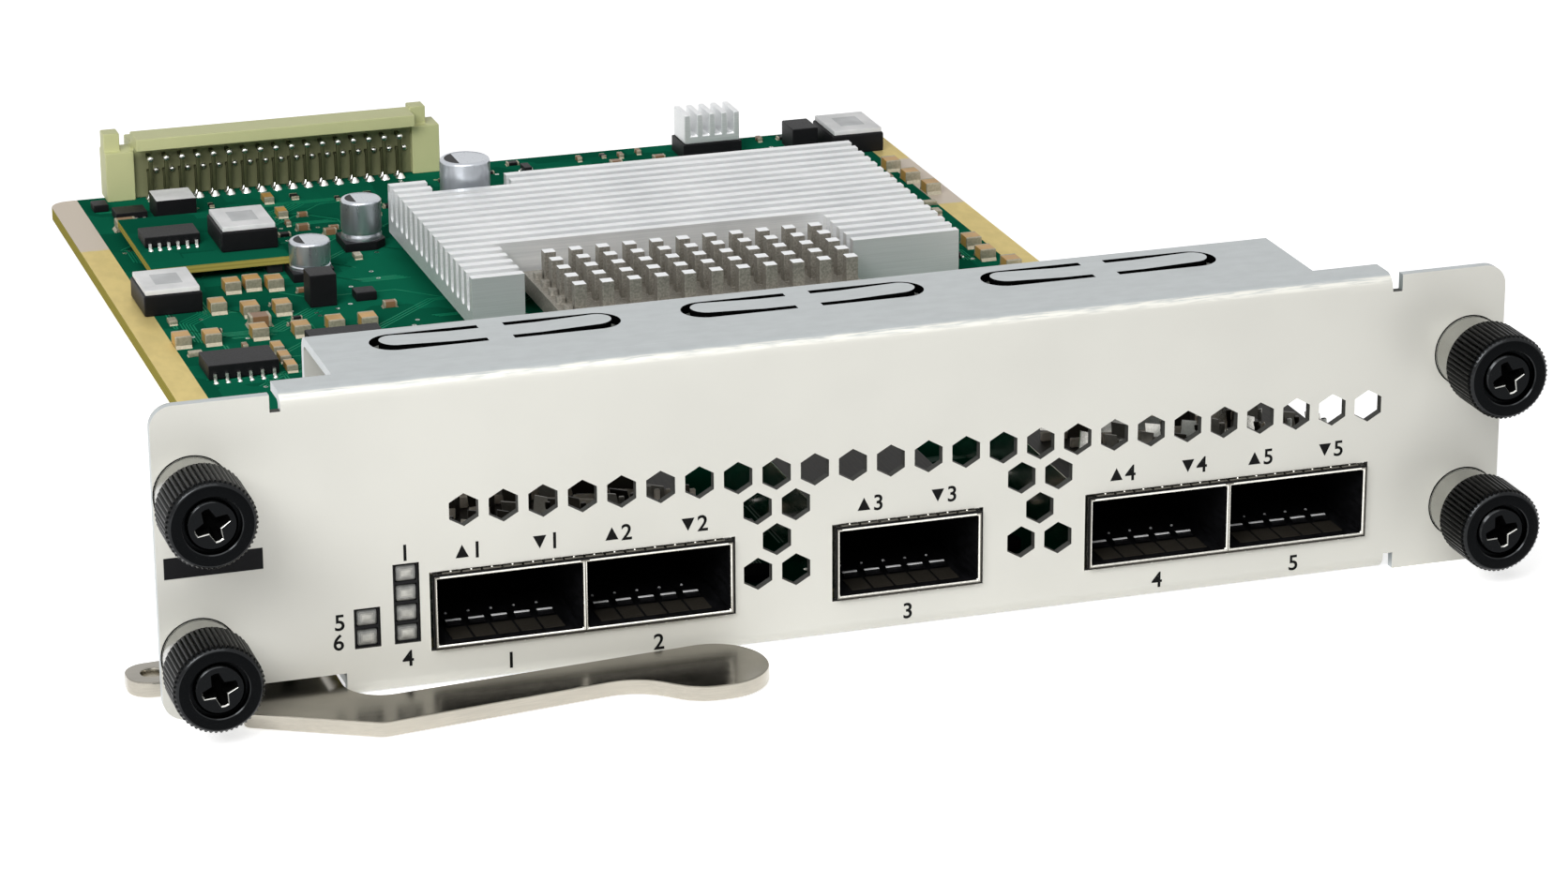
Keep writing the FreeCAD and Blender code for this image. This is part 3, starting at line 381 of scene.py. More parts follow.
def panel_coat(colours):
    """Satin lacquer on the panel's face, zinc with fine scratches on its folds and back, and a painted
    highlight along the top bend.
    """
    coat = Finish("panel_coat", 0.4)
    across, along, up = coat.facing()
    face = (0 - along).ramp(0.0, 0.5) * (0.9 - up).ramp(0.0, 0.4)
    bend = (0 - along).ramp(0.42, 0.6) * up.ramp(0.42, 0.6)
    clouds = coat.noise(coat.place(), 0.05)
    grain = coat.noise(coat.place(), 6.0, 3.0)
    spangle = coat.noise(coat.place((0.5, 1.0, 1.0)), 0.6, 4.0)
    scratch = coat.noise(coat.place((0.03, 5.0, 5.0)), 1.0).ramp(0.66, 0.72)
    lacquer = coat.tone(clouds.ramp(0.3, 0.7), colours.lacquer, 0.97, 1.015)
    zinc = coat.tone(spangle.ramp(0.3, 0.7), colours.zinc, 0.96, 1.03)
    zinc = coat.blend(scratch * 0.3, zinc, rgba(colours.zinc, 1.25))
    # Painted highlight: a lighter, streaky line of lacquer along the bend between face and flange
    painted_bend_highlight = coat.noise(coat.place((0.3, 4.0, 4.0)), 1.0, 3.0).ramp(0.3, 0.6) * bend
    skin = coat.blend(face, zinc, lacquer)
    coat.set("Metallic", (1 - face) * 0.5 + 0.1)
    return coat.done(coat.blend(painted_bend_highlight, skin, rgba(colours.lacquer, 1.2)), 0.34, grain, 0.16, 0.006)


def turned_metal(name, colour, roughness):
    """Bright turned metal with fine rings across its axis."""
    metal = Finish(name, roughness, 1.0)
    rings = metal.noise(metal.place((0.1, 7.0, 0.1)), 1.6, 3.0)
    clouds = metal.noise(metal.place(), 0.4)
    return metal.done(metal.tone(clouds, colour, 0.92, 1.05), roughness, rings, 0.1, 0.004)


def brushed_metal(name, colour, roughness, stretch, relief):
    """Metal with the streaks that brushing, rolling or drawing leaves along it."""
    metal = Finish(name, roughness, 1.0)
    streaks, clouds, mixed = metal.streaks(stretch, 0.12)
    return metal.done(metal.tone(mixed, colour, 0.88, 1.06), roughness, streaks, 0.16, relief)


def moulded_plastic(name, colour, roughness, relief, scale, gloss):
    """Moulded plastic with a fine spark texture and faint clouds in its colour."""
    plastic = Finish(name, roughness, 0.0, {"Specular IOR Level": gloss})
    grain = plastic.noise(plastic.place(), scale, 3.0)
    clouds = plastic.noise(plastic.place(), 0.2)
    tint = plastic.tone(clouds.ramp(0.3, 0.7), colour, 0.86, 1.12)
    return plastic.done(tint, roughness, grain, 0.18, relief)


def lever_nickel(colours):
    """Warm nickel, with its top face painted darker as a painted reflection of dark surroundings."""
    metal = Finish("lever_nickel", 0.14, 1.0)
    streaks, clouds, mixed = metal.streaks((0.25, 1.6, 6.0), 0.12)
    bright = metal.tone(mixed, colours.warm_nickel, 0.9, 1.06)
    # Painted reflection: upward faces are blended towards a darker nickel
    painted_top_shade = metal.facing()[2].ramp(0.7, 0.95) * (clouds.ramp(0.3, 0.7) * 0.3 + 0.35)
    painted_dark_tone = rgba(colours.warm_nickel, 0.42)
    return metal.done(metal.blend(painted_top_shade, bright, painted_dark_tone), 0.14, streaks, 0.14, 0.003)


# Where the board's left and right edge strips are bare, in millimetres along Y
BARE_LEFT = 176.0
BARE_RIGHT = (157.4, 183.6)
# The shade on the board behind the panel: where it begins to fade and where it ends, along Y, and its level
SHADE_FROM, SHADE_TO = 44.0, 85.0
SHADE_LEVEL = 0.1
# Where the painted shade on a cage's roof begins, along Y, and how high over the board the painted shade in
# the connector's recess fades
ROOF_FRONT = 0.8
RECESS_FROM, RECESS_TO = 6.4, 8.6
# How deep the painted shade on the front of the large heatsink and the painted light on the tops of the pins
# reach
FRONT_SHADE_DEPTH, LIT_TOP_DEPTH = 0.5, 0.4


def board_green(colours):
    """Solder mask over copper, bare strips along both edges, and laminate where the board is cut."""
    mask = Finish("board_green", 0.32, 0.0, {"Specular IOR Level": 0.0})
    x, y, z = mask.parts(mask.place())
    upward = abs(mask.facing()[2]) > 0.5
    pours = mask.node(
        "ShaderNodeTexVoronoi", {"feature": "F1", "distance": "CHEBYCHEV"},
        {"Vector": mask.place((1.0, 1.0, 0.0)), "Scale": 0.11}, "Color")
    pour = mask.parts(pours)[0].ramp(0.35, 0.65)
    weave = mask.noise(mask.place((1.0, 1.0, 0.2)), 2.4, 3.0)
    clouds = mask.noise(mask.place(), 0.09)
    green = mask.tone(pour * 0.6 + clouds * 0.4, colours.mask, 0.78, 1.3)
    green = mask.blend(y.ramp(SHADE_FROM, SHADE_TO), rgba(colours.mask, SHADE_LEVEL), green)
    width = bpy.context.scene.module_sizes.strip_width / MM
    left = (x - board_low.x / MM) < width
    right = (board_high.x / MM - x) < width
    edge = left.most(right) * upward
    stain = mask.noise(mask.place((1.0, 0.5, 1.0)), 0.5, 4.0)
    strip = mask.tone(stain.ramp(0.3, 0.75), colours.gold, 0.93, 1.03)
    behind = [(y + stain).ramp(place - 0.5, place + 0.5) for place in (BARE_LEFT, *BARE_RIGHT)]
    bare = left * behind[0] + right * (behind[1] - behind[2])
    strip = mask.blend(bare, strip, rgba(colours.bare))
    layers = (z * 3.6).swing(1.0)
    cut = mask.tone(layers, colours.laminate, 0.75, 1.1)
    top = mask.blend(edge, green, strip)
    mask.set("Metallic", edge * 0.35)
    return mask.done(mask.blend(upward, cut, top), edge * 0.1 + 0.3, weave, 0.1, 0.006)


def board_trace(colours):
    """Copper under solder mask, as dark behind the panel as the board is."""
    mask = Finish("board_trace", 0.3, 0.0, {"Specular IOR Level": 0.02})
    lit = mask.parts(mask.place())[1].ramp(SHADE_FROM, SHADE_TO)
    grain = mask.noise(mask.place(), 5.0, 3.0)
    return mask.done(mask.tone(lit, colours.trace, SHADE_LEVEL, 1.0), 0.3, grain, 0.18, 0.004)


def cage_nickel(colours):
    """Bright sheet, with painted shade on its roof behind the panel: a dark streaky colour that stands in for
    shade and dark reflections.
    """
    sheet = Finish("cage_nickel", 0.2, 1.0, {"Specular IOR Level": 0.08})
    y = sheet.parts(sheet.place())[1]
    # Painted shade: upward faces behind the roof's front edge take the dark roof colour
    roof = (sheet.facing()[2] > 0.9) * (y > ROOF_FRONT)
    streaks = sheet.noise(sheet.place((3.0, 0.3, 3.0)), 1.0, 3.0)
    bright = sheet.tone(streaks.ramp(0.3, 0.7), colours.nickel, 0.86, 1.04)
    dark = sheet.tone(streaks.ramp(0.3, 0.7), colours.roof, 0.5, 1.4)
    sheet.set("Metallic", 1 - roof)
    return sheet.done(sheet.blend(roof, bright, dark), roof * 0.3 + 0.12, streaks, 0.12, 0.004)


def cage_inside(colours):
    """The unlit inside of a port."""
    sheet = Finish("cage_inside", 0.5, 0.0, {"Specular IOR Level": 0.08})
    streaks = sheet.noise(sheet.place((2.0, 0.4, 2.0)), 1.0, 3.0)
    dark = sheet.tone(streaks.ramp(0.3, 0.75), colours.moulding, 0.25, 0.9)
    return sheet.done(dark, 0.38, streaks, 0.3, 0.01)


def clear_plastic(name, colour, roughness):
    """Clear moulded plastic, hazy inside and glossy outside."""
    plastic = Finish(name, roughness, 0.0, {"Coat Weight": 0.6, "Coat Roughness": 0.08})
    haze = plastic.noise(plastic.place(), 1.1)
    plastic.set("Base Color", plastic.tone(haze.ramp(0.3, 0.7), colour, 0.82, 1.18))
    plastic.set("Roughness", roughness + haze * 0.12)
    return plastic.material


def connector_cream(colours):
    """Filled cream plastic, olive in the shaded recess behind the pins."""
    plastic = Finish("connector_cream", 0.45)
    x, y, z = plastic.parts(plastic.place())
    across, along, up = plastic.facing()
    low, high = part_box("rear_connector_housing")
    flange = bpy.context.scene.module_sizes.connector_flange / MM
    between = (x > low.x / MM + flange) * (x < high.x / MM - flange)
    recess = between * (0 - along).ramp(0.4, 0.7) * (1 - (z - board_top / MM).ramp(RECESS_FROM, RECESS_TO))
    grain = plastic.noise(plastic.place(), 3.0, 3.0)
    cream = plastic.tone(plastic.noise(plastic.place(), 0.15), colours.cream, 0.94, 1.06)
    olive = rgba(colours.cream, 0.26)
    return plastic.done(plastic.blend(recess * 0.85, cream, olive), 0.4, grain, 0.2, 0.015)


def sink_aluminium(colours):
    """Drawn aluminium with streaks along its fins, and painted shade on its front face."""
    metal = Finish("sink_aluminium", 0.4, 0.55)
    streaks, clouds, mixed = metal.streaks((0.08, 5.0, 5.0), 0.1)
    drawn = metal.tone(mixed, colours.aluminium, 0.9, 1.08)
    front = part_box("main_heatsink")[0].y / MM
    # Painted shade: the front faces of the large heatsink are darker
    painted_front_shade = (metal.facing()[1] < -0.8) * (metal.parts(metal.place())[1] < front + FRONT_SHADE_DEPTH)
    painted_dark_tone = metal.tone(streaks, colours.aluminium, 0.66, 0.84)
    return metal.done(metal.blend(painted_front_shade, drawn, painted_dark_tone), 0.34, streaks, 0.14, 0.006)


def pin_sink_aluminium(colours):
    """Sides and floor painted darker as painted shade, and the pins' tops painted bright as painted light."""
    metal = Finish("pin_sink_aluminium", 0.45, 0.7)
    x, y, z = metal.parts(metal.place())
    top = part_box("pin_fin_heatsink")[1].z / MM
    # Painted light: upward faces near the top of the pins take bright aluminium
    painted_lit_top = (metal.facing()[2] > 0.8) * (z > top - LIT_TOP_DEPTH)
    grain = metal.noise(metal.place(), 3.5, 3.0)
    sides = metal.tone(grain.ramp(0.3, 0.7), colours.blasted, 0.8, 1.25)
    bright = metal.tone(grain, colours.aluminium, 0.92, 1.04)
    return metal.done(metal.blend(painted_lit_top, sides, bright), 0.5 - painted_lit_top * 0.2, grain, 0.1, 0.02)


def can_aluminium(colours):
    """Drawn aluminium, nearly smooth."""
    metal = Finish("can_aluminium", 0.28, 0.85)
    streaks = metal.noise(metal.place((2.0, 2.0, 0.2)), 1.0, 3.0)
    return metal.done(metal.tone(streaks, colours.can, 0.94, 1.05), 0.24, streaks, 0.1, 0.002)


def cap_end(colours):
    """Dull tinned ends of small parts."""
    metal = Finish("cap_end", 0.4, 0.4)
    grain = metal.noise(metal.place(), 3.0, 3.0)
    return metal.done(metal.tone(grain.ramp(0.3, 0.7), colours.ends, 0.86, 1.12), 0.34, grain, 0.2, 0.01)


# Turned metal: colour and roughness
TURNED = {"sleeve_nickel": ("sleeve", 0.14), "screw_black": ("screw", 0.24), "seat_steel": ("steel", 0.25)}
# Brushed metal: colour, roughness, stretch of its streaks, and relief in millimetres
BRUSHED = {
    "knob_black": ("knob", 0.3, (5.0, 5.0, 5.0), 0.004),
    "knob_edge": ("edge", 0.1, (4.0, 4.0, 4.0), 0.002),
    "cross_glint": ("glint", 0.08, (4.0, 4.0, 4.0), 0.002),
    "strip_steel": ("steel", 0.3, (3.0, 0.6, 3.0), 0.006),
    "roof_steel": ("roof", 0.3, (3.0, 0.6, 3.0), 0.006),
    "pin_tin": ("tin", 0.2, (3.0, 3.0, 3.0), 0.02),
    "pin_leg": ("leg", 0.5, (3.0, 3.0, 1.0), 0.01),
}
# Moulded plastic, and small parts that look like it: colour, roughness, relief in millimetres,
# scale of the grain, and specular level
MOULDED = {
    "panel_slit": ("slit", 0.7, 0.02, 3.0, 0.0),
    "panel_cut": ("cut", 0.5, 0.01, 3.0, 0.2),
    "panel_print": ("print_black", 0.5, 0.004, 6.0, 0.1),
    "label_film": ("moulding", 0.5, 0.006, 1.2, 0.12),
    "fixing_steel": ("fixing", 0.5, 0.01, 4.0, 0.0),
    "spring_pale": ("bare", 0.4, 0.004, 3.0, 0.2),
    "finger_grey": ("roof", 0.4, 0.004, 3.0, 0.1),
    "black_moulding": ("moulding", 0.4, 0.012, 3.0, 0.16),
    "spacer_black": ("moulding", 0.5, 0.01, 4.0, 0.5),
    "pad_grey": ("pad", 0.7, 0.03, 2.0, 0.5),
    "pale_top": ("pale", 0.4, 0.006, 5.0, 0.5),
    "grey_mark": ("mark", 0.45, 0.004, 5.0, 0.5),
    "ceramic_tan": ("ceramic", 0.3, 0.006, 5.0, 0.5),
    "ceramic_brown": ("brown", 0.32, 0.006, 5.0, 0.5),
}
# Clear plastic: colour and roughness
CLEAR = {
    "lens_clear": ("lens", 0.14), "lens_haze": ("haze", 0.2),
    "lamp_diode": ("diode", 0.25), "lamp_heart": ("heart", 0.25),
}
KINDS = ((turned_metal, TURNED), (brushed_metal, BRUSHED), (moulded_plastic, MOULDED), (clear_plastic, CLEAR))
# The finishes that are like no other
OWN_FINISHES = (
    panel_coat, lever_nickel, board_green, board_trace, cage_nickel, cage_inside, connector_cream,
    sink_aluminium, pin_sink_aluminium, can_aluminium, cap_end,
)


def finish(name):
    """The material of that name, made the first time it is asked for."""
    if FINISH_NAME + name not in bpy.data.materials:
        colours = bpy.context.scene.module_colours
        for maker in OWN_FINISHES:
            if maker.__name__ == name:
                maker(colours)
        for maker, rows in KINDS:
            if name in rows:
                tint, *values = rows[name]
                maker(name, getattr(colours, tint), *values)
    return bpy.data.materials[FINISH_NAME + name]


def add_piece(name, mesh, body, slot, finishes, nodes=()):
    """A piece that rides a body, shows its finishes and stands in for solids."""
    mesh.shade_smooth()
    mesh.set_sharp_from_angle(angle=CREASE_ANGLE)
    piece = bpy.data.objects.new(name, mesh)
    bpy.context.scene.collection.objects.link(piece)
    for each in finishes:
        mesh.materials.append(finish(each))
    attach(piece, body)
    if nodes:
        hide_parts(*nodes)
    normals = piece.modifiers.new("even_faces", "WEIGHTED_NORMAL")
    normals.keep_sharp = True


def welded(node):
    """A solid's surface with its points joined and its flat faces whole."""
    source = frame["nodes"][node].data
    loose = bpy.data.meshes.new("loose")
    loose.from_pydata([v.co for v in source.vertices], [], [tuple(p.vertices) for p in source.polygons])
    shape = bmesh.new()
    shape.from_mesh(loose)
    bpy.data.meshes.remove(loose)
    bmesh.ops.remove_doubles(shape, verts=shape.verts, dist=WELD)
    bmesh.ops.dissolve_limit(shape, angle_limit=FLAT_ANGLE, verts=shape.verts, edges=shape.edges)
    return shape


def bevelled(shape, edges, width):
    """Rounds edges of a shape in two steps."""
    bmesh.ops.bevel(
        shape, geom=edges, offset=width, offset_type="OFFSET", segments=2, profile=0.5,
        affect="EDGES", clamp_overlap=True)


def softened(node, finishes=None, pick=None):
    """A copy of a solid with its edges rounded, that stands in for the solid.

    Where pick is given, it tells a face's finish from the face's middle and direction.
    """
    shape = welded(node)
    sharp = [edge for edge in shape.edges if edge.is_manifold and edge.calc_face_angle() > SHARP_ANGLE]
    bevelled(shape, sharp, ROUNDING[node] * MM)
    if pick:
        for face in shape.faces:
            face.material_index = pick(face.calc_center_median(), face.normal)
    name = node + "_soft"
    mesh = bpy.data.meshes.new(name)
    shape.to_mesh(mesh)
    shape.free()
    slot = SLOTS[node]
    add_piece(name, mesh, frame["nodes"][node]["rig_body"], slot, finishes or [slot], [node])


def solid_boxes(node):
    """The lowest and highest corners of each separate solid in a node, from left to right."""
    shape = welded(node)
    left = set(shape.verts)
    boxes = []
    while left:
        reached = [left.pop()]
        points = []
        while reached:
            vertex = reached.pop()
            points.append(vertex.co.copy())
            for edge in vertex.link_edges:
                other = edge.other_vert(vertex)
                if other in left:
                    left.discard(other)
                    reached.append(other)
        low = Vector([min(p[axis] for p in points) for axis in range(3)])
        high = Vector([max(p[axis] for p in points) for axis in range(3)])
        boxes.append((low, high))
    shape.free()
    return sorted(boxes, key=lambda box: tuple(round(part, 6) for part in box[0]))


class Shape:
    """Points and faces in the making, each face in one of the piece's finishes."""

    def __init__(self):
        self.points = []
        self.faces = []
        self.indices = []

    def add(self, points, faces, index=0):
        start = len(self.points)
        self.points += [Vector(point) for point in points]
        self.faces += [tuple(start + corner for corner in face) for face in faces]
        self.indices += [index] * len(faces)

    def join(self, other, place):
        """Adds a copy of another shape, moved to its place."""
        start = len(self.points)
        self.points += [place @ point for point in other.points]
        self.faces += [tuple(start + corner for corner in face) for face in other.faces]
        self.indices += other.indices

    def take(self, solid, index=0):
        """Adds all of a bmesh, and frees it."""
        solid.verts.index_update()
        self.add([v.co for v in solid.verts], [[v.index for v in face.verts] for face in solid.faces], index)
        solid.free()

    def box(self, low, high, index=0, width=0.0):
        """A box between two corners, with its edges rounded where a width is given."""
        solid = bmesh.new()
        bmesh.ops.create_cube(solid, size=1.0)
        size = Vector(high) - Vector(low)
        place = Matrix.Translation((Vector(high) + Vector(low)) / 2) @ Matrix.Diagonal(size.to_4d())
        bmesh.ops.transform(solid, matrix=place, verts=solid.verts)
        if width:
            bevelled(solid, solid.edges[:], width)
        self.take(solid, index)

    def slab(self, outline, depth, index=0):
        """A flat outline given some depth."""
        count = len(outline)
        far = [Vector(point) + Vector(depth) for point in outline]
        faces = [tuple(range(count)), tuple(range(2 * count - 1, count - 1, -1))]
        for step in range(count):
            after = (step + 1) % count
            faces.append((step, step + count, after + count, after))
        self.add(list(outline) + far, faces, index)

    def revolve(self, rows, columns, place, index=0, closed=False, bright=()):
        """Rows of (radius or radius at an angle, height) turned about an axis, closed with lids or in a ring.

        The bands after the rows counted in bright take the next finish.
        """
        points = []
        for radius, height in rows:
            for column in range(columns):
                angle = 2 * math.pi * column / columns
                reach = radius(angle) if callable(radius) else radius
                points.append(place @ Vector((reach * math.cos(angle), reach * math.sin(angle), height)))
        faces = []
        last = len(rows) if closed else len(rows) - 1
        for row in range(last):
            first = row * columns
            second = (row + 1) % len(rows) * columns
            for column in range(columns):
                after = (column + 1) % columns
                faces.append((first + column, first + after, second + after, second + column))
        if not closed:
            faces.append(tuple(range(columns)))
            faces.append(tuple(range((len(rows) - 1) * columns, len(rows) * columns)))
        self.add(points, faces, index)
        first_face = len(self.indices) - len(faces)
        for row in bright:
            start = first_face + row * columns
            self.indices[start:start + columns] = [index + 1] * columns

    def mesh(self, name):
        mesh = bpy.data.meshes.new(name)
        mesh.from_pydata(self.points, [], self.faces)
        mesh.polygons.foreach_set("material_index", self.indices)
        solid = bmesh.new()
        solid.from_mesh(mesh)
        bmesh.ops.recalc_face_normals(solid, faces=solid.faces)
        solid.to_mesh(mesh)
        solid.free()
        return mesh

    def piece(self, name, body, slot, finishes, nodes=()):
        add_piece(name, self.mesh(name), body, slot, finishes, nodes)


# Steps from pole to pole of a blob, and its columns
BALL_STEPS, BALL_COLUMNS = 8, 12


def ball(shape, centre, radius, index=0):
    """A small round blob."""
    rows = []
    for step in range(1, BALL_STEPS):
        angle = math.pi * step / BALL_STEPS
        rows.append((radius * math.sin(angle), -radius * math.cos(angle)))
    shape.revolve(rows, BALL_COLUMNS, Matrix.Translation(centre), index)


def upright(x, y, z=0.0):
    """An axis that stands on the board at a place in plan."""
    return Matrix.Translation((x, y, z))


def inward(x, z):
    """An axis that runs along Y into the module, at a place on the panel."""
    return Matrix(((1, 0, 0, x), (0, 0, 1, 0), (0, 1, 0, z), (0, 0, 0, 1)))


def axis_of(node):
    """The axis along Y through the middle of a node."""
    low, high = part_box(node)
    return inward((low.x + high.x) / 2, (low.z + high.z) / 2)


def on_panel(x, z):
    """A flat drawing's place on the panel's face, seen from the front."""
    return Matrix.Translation((x, panel_face, z)) @ Matrix.Rotation(QUARTER_TURN, 4, "X")


# How thick the print lies, and how much bolder than plain its characters are, as a share of their size
PRINT_DEPTH = 0.02 * MM
PRINT_WEIGHT = 0.014


def lettering(words, height):
    """A shape of plain characters, centred and as tall as asked."""
    curve = bpy.data.curves.new("words", "FONT")
    curve.body = words
    curve.offset = PRINT_WEIGHT
    curve.align_x = "CENTER"
    curve.align_y = "CENTER"
    holder = bpy.data.objects.new("words", curve)
    bpy.context.scene.collection.objects.link(holder)
    seen = holder.evaluated_get(bpy.context.evaluated_depsgraph_get())
    drawn = bpy.data.meshes.new_from_object(seen)
    low = [min(v.co[axis] for v in drawn.vertices) for axis in range(2)]
    high = [max(v.co[axis] for v in drawn.vertices) for axis in range(2)]
    scale = height / (high[1] - low[1])
    middle = Vector(((low[0] + high[0]) / 2, (low[1] + high[1]) / 2, 0.0))
    flat = bmesh.new()
    flat.from_mesh(drawn)
    top = bmesh.ops.extrude_face_region(flat, geom=flat.faces[:])
    raised = [part for part in top["geom"] if isinstance(part, bmesh.types.BMVert)]
    bmesh.ops.translate(flat, vec=(0.0, 0.0, PRINT_DEPTH / scale), verts=raised)
    bmesh.ops.transform(flat, matrix=Matrix.Scale(scale, 4) @ Matrix.Translation(-middle), verts=flat.verts)
    shape = Shape()
    shape.take(flat)
    bpy.data.objects.remove(holder)
    bpy.data.curves.remove(curve)
    bpy.data.meshes.remove(drawn)
    return shape


def arrow(height, up):
    """A small triangle that points out of a port or into it."""
    half = height / 2
    tip = half if up else -half
    shape = Shape()
    shape.slab(((-half, -tip, 0), (half, -tip, 0), (0, tip, 0)), (0, 0, PRINT_DEPTH))
    return shape


def bay_centres():
    """The centre of every port across the panel, from left to right."""
    pitch = bpy.context.scene.module_sizes.bay_pitch
    centres = []
    for cage, bays in CAGE_BAYS.items():
        low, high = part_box(cage)
        for bay in range(bays):
            centres.append((low.x + high.x) / 2 + (bay - (bays - 1) / 2) * pitch)
    return centres


# Print on the panel: above and below the ports, beside the lamps, in millimetres
MARK_SPREAD = 4.9
MARK_GAP = 1.9
MARKS_ABOVE = 2.55
NUMBERS_BELOW = 2.7
# How tall a triangle is, as a share of the numbers' height
ARROW_SHARE = 0.8
LAMP_NUMBERS = (("1", -57.9, -0.3), ("4", -57.9, -14.1), ("5", -66.3, -8.4), ("6", -66.5, -10.95))
LABEL_LEFT, LABEL_RIGHT, LABEL_LOW, LABEL_HIGH = -87.5, -75.4, -0.2, 2.5
LABEL_THICKNESS = 0.06
LABEL_ROUNDING = 0.02
# How deep the slits of the top flange go, and how far all cuts keep from the panel's outline
SLIT_DEPTH = 2.0
CUT_MARGIN = 3.0
PANEL_FINISHES = ["panel_coat", "panel_slit", "panel_cut"]
COAT, SLIT, CUT = range(3)


def panel_shade(centre, normal):
    """Coat on the panel's skin, painted shade on the walls of the slits in its flange, and cut edges in its
    face painted dark as painted shade.
    """
    margin = CUT_MARGIN * MM
    if centre.z > panel_high.z - SLIT_DEPTH * MM:
        slit = abs(normal.z) < 0.5 and margin < centre.y < panel_high.y - margin
        return SLIT if slit else COAT
    across = panel_low.x + margin < centre.x < panel_high.x - margin
    cut = across and centre.z > panel_low.z + margin and abs(normal.y) < 0.5 and centre.y < 0
    return CUT if cut else COAT


class MODULE_OT_panel(bpy.types.Operator):
    """Finish the folded front panel, its bare label and its print"""

    bl_idname = "module.panel"
    bl_label = "Front panel"

    def execute(self, context):
        softened("front_panel", PANEL_FINISHES, panel_shade)
        height = context.scene.module_sizes.digit_height
        cage_low, cage_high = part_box("cage_left")
        above, below = cage_high.z + MARKS_ABOVE * MM, cage_low.z - NUMBERS_BELOW * MM
        marks = Shape()
        for number, x in enumerate(bay_centres(), 1):
            digit = lettering(str(number), height)
            for side in (-1, 1):
                middle = x + side * MARK_SPREAD * MM
                marks.join(arrow(height * ARROW_SHARE, side < 0), on_panel(middle - MARK_GAP / 2 * MM, above))
                marks.join(digit, on_panel(middle + MARK_GAP / 2 * MM, above))
            marks.join(digit, on_panel(x, below))
        for words, x, z in LAMP_NUMBERS:
            marks.join(lettering(words, height), on_panel(x * MM, z * MM))
        marks.piece("panel_marks", "card", "panel_coat", ["panel_print"])
        label = Shape()
        low = (LABEL_LEFT * MM, panel_face - LABEL_THICKNESS * MM, LABEL_LOW * MM)
        high = (LABEL_RIGHT * MM, panel_face, LABEL_HIGH * MM)
        label.box(low, high, 0, LABEL_ROUNDING * MM)
        label.piece("bare_label", "card", "panel_coat", ["label_film"])
        return {"FINISHED"}


# Turn of each screw's cross, in degrees, and its share of the span, width and depth from lip to floor
CROSS_TURNS = (22, 15, 20, 14)
CROSS_LEVELS = ((1.0, 1.0, 0.0), (0.94, 0.8, 0.12), (0.5, 0.4, 1.0))
SCREW_FINISHES = ["screw_black", "knob_edge", "panel_slit", "cross_glint"]
SHADED, LIT = 2, 3
# An arm of the cross: its tip and inner corner as shares of half its width, and where it rounds off
ARM_TIP, ARM_CORNER, ARM_ROUND = 0.8, 1.3, 0.96
KNOB_COLUMNS_PER_GROOVE = 6
SCREW_COLUMNS = 48
THREAD_ROWS_PER_PITCH = 8
# Width of the painted shadow ring round the foot of a sleeve, and a knob's roundings, in millimetres
SLEEVE_SHADOW = 0.14
KNOB_ROUNDING = 0.12
# The bands of a knob and a screw that are polished
KNOB_POLISH = (5, 6, 8)
SCREW_POLISH = (0,)
# A screw's rounded lip, the depths of its head and hub, its shank, and its thread, in millimetres
SCREW_LIP = 0.28
HEAD_DEPTH, HUB_DEPTH = 0.8, 1.3
SHANK_RADIUS = 1.25
THREAD_RADIUS = 1.5
THREAD_LENGTH = 2.9
# How steep a thread's flanks are, and how many turns it takes to run out at the tip
THREAD_FLANK = 2.6
THREAD_FADE = 1.2
# The tip's share of the thread's core
TIP_SHARE = 0.6


def sleeve_radius():
    """The radius of the sleeves, which share one axis with their knobs."""
    low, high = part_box("knob_top_left")
    return (low.x + high.x) / 2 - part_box("screw_sleeves")[0].x


def knob(name, sizes):
    """A knurled knob with a bevelled face, a ring groove and a skirt over the sleeve."""
    low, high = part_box("knob_" + name)
    screw_low, screw_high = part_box("screw_" + name)
    outer = (high.x - low.x) / 2
    groove = (screw_high.x - screw_low.x) / 2 + sizes.ring_groove
    cup = sleeve_radius() + sizes.skirt_gap
    front, rear = low.y, high.y

    def grip(angle):
        wave = 0.5 + 0.5 * math.cos(sizes.knurls * angle)
        return outer - sizes.knurl_depth * wave ** 2

    smooth = outer - sizes.knurl_depth * 0.5
    bevel, small = sizes.knob_bevel, KNOB_ROUNDING * MM
    groove_floor = screw_low.y + HEAD_DEPTH * MM
    cup_floor = front + sizes.knob_wall
    rows = [
        (cup, rear), (smooth - small, rear), (smooth, rear - small), (grip, rear - 3 * small),
        (grip, front + bevel + 2 * small), (smooth - small, front + bevel),
        (smooth - bevel * 0.7, front + bevel * 0.3), (smooth - bevel * 1.3, front),
        (groove + small, front), (groove, front + small), (groove, groove_floor),
        (sizes.hub_radius, groove_floor), (sizes.hub_radius, cup_floor), (cup, cup_floor),
    ]
    shape = Shape()
    columns = sizes.knurls * KNOB_COLUMNS_PER_GROOVE
    shape.revolve(rows, columns, axis_of("knob_" + name), 0, True, KNOB_POLISH)
    finishes = ["knob_black", "knob_edge"]
    shape.piece("knurled_knob_" + name, "thumbscrew_" + name, "knob_black", finishes, ["knob_" + name])


def cross_outline(span, width, turn):
    """The corners of a cross with rounded arms."""
    far, near = span / 2, width / 2
    tip, corner = near * ARM_TIP, near * ARM_CORNER
    quarter = ((far * ARM_ROUND, -tip), (far, 0.0), (far * ARM_ROUND, tip), (corner, corner))
    points = []
    for step in range(4):
        angle = turn + step * math.pi / 2
        cosine, sine = math.cos(angle), math.sin(angle)
        points += [(x * cosine - y * sine, x * sine + y * cosine) for x, y in quarter]
    return points


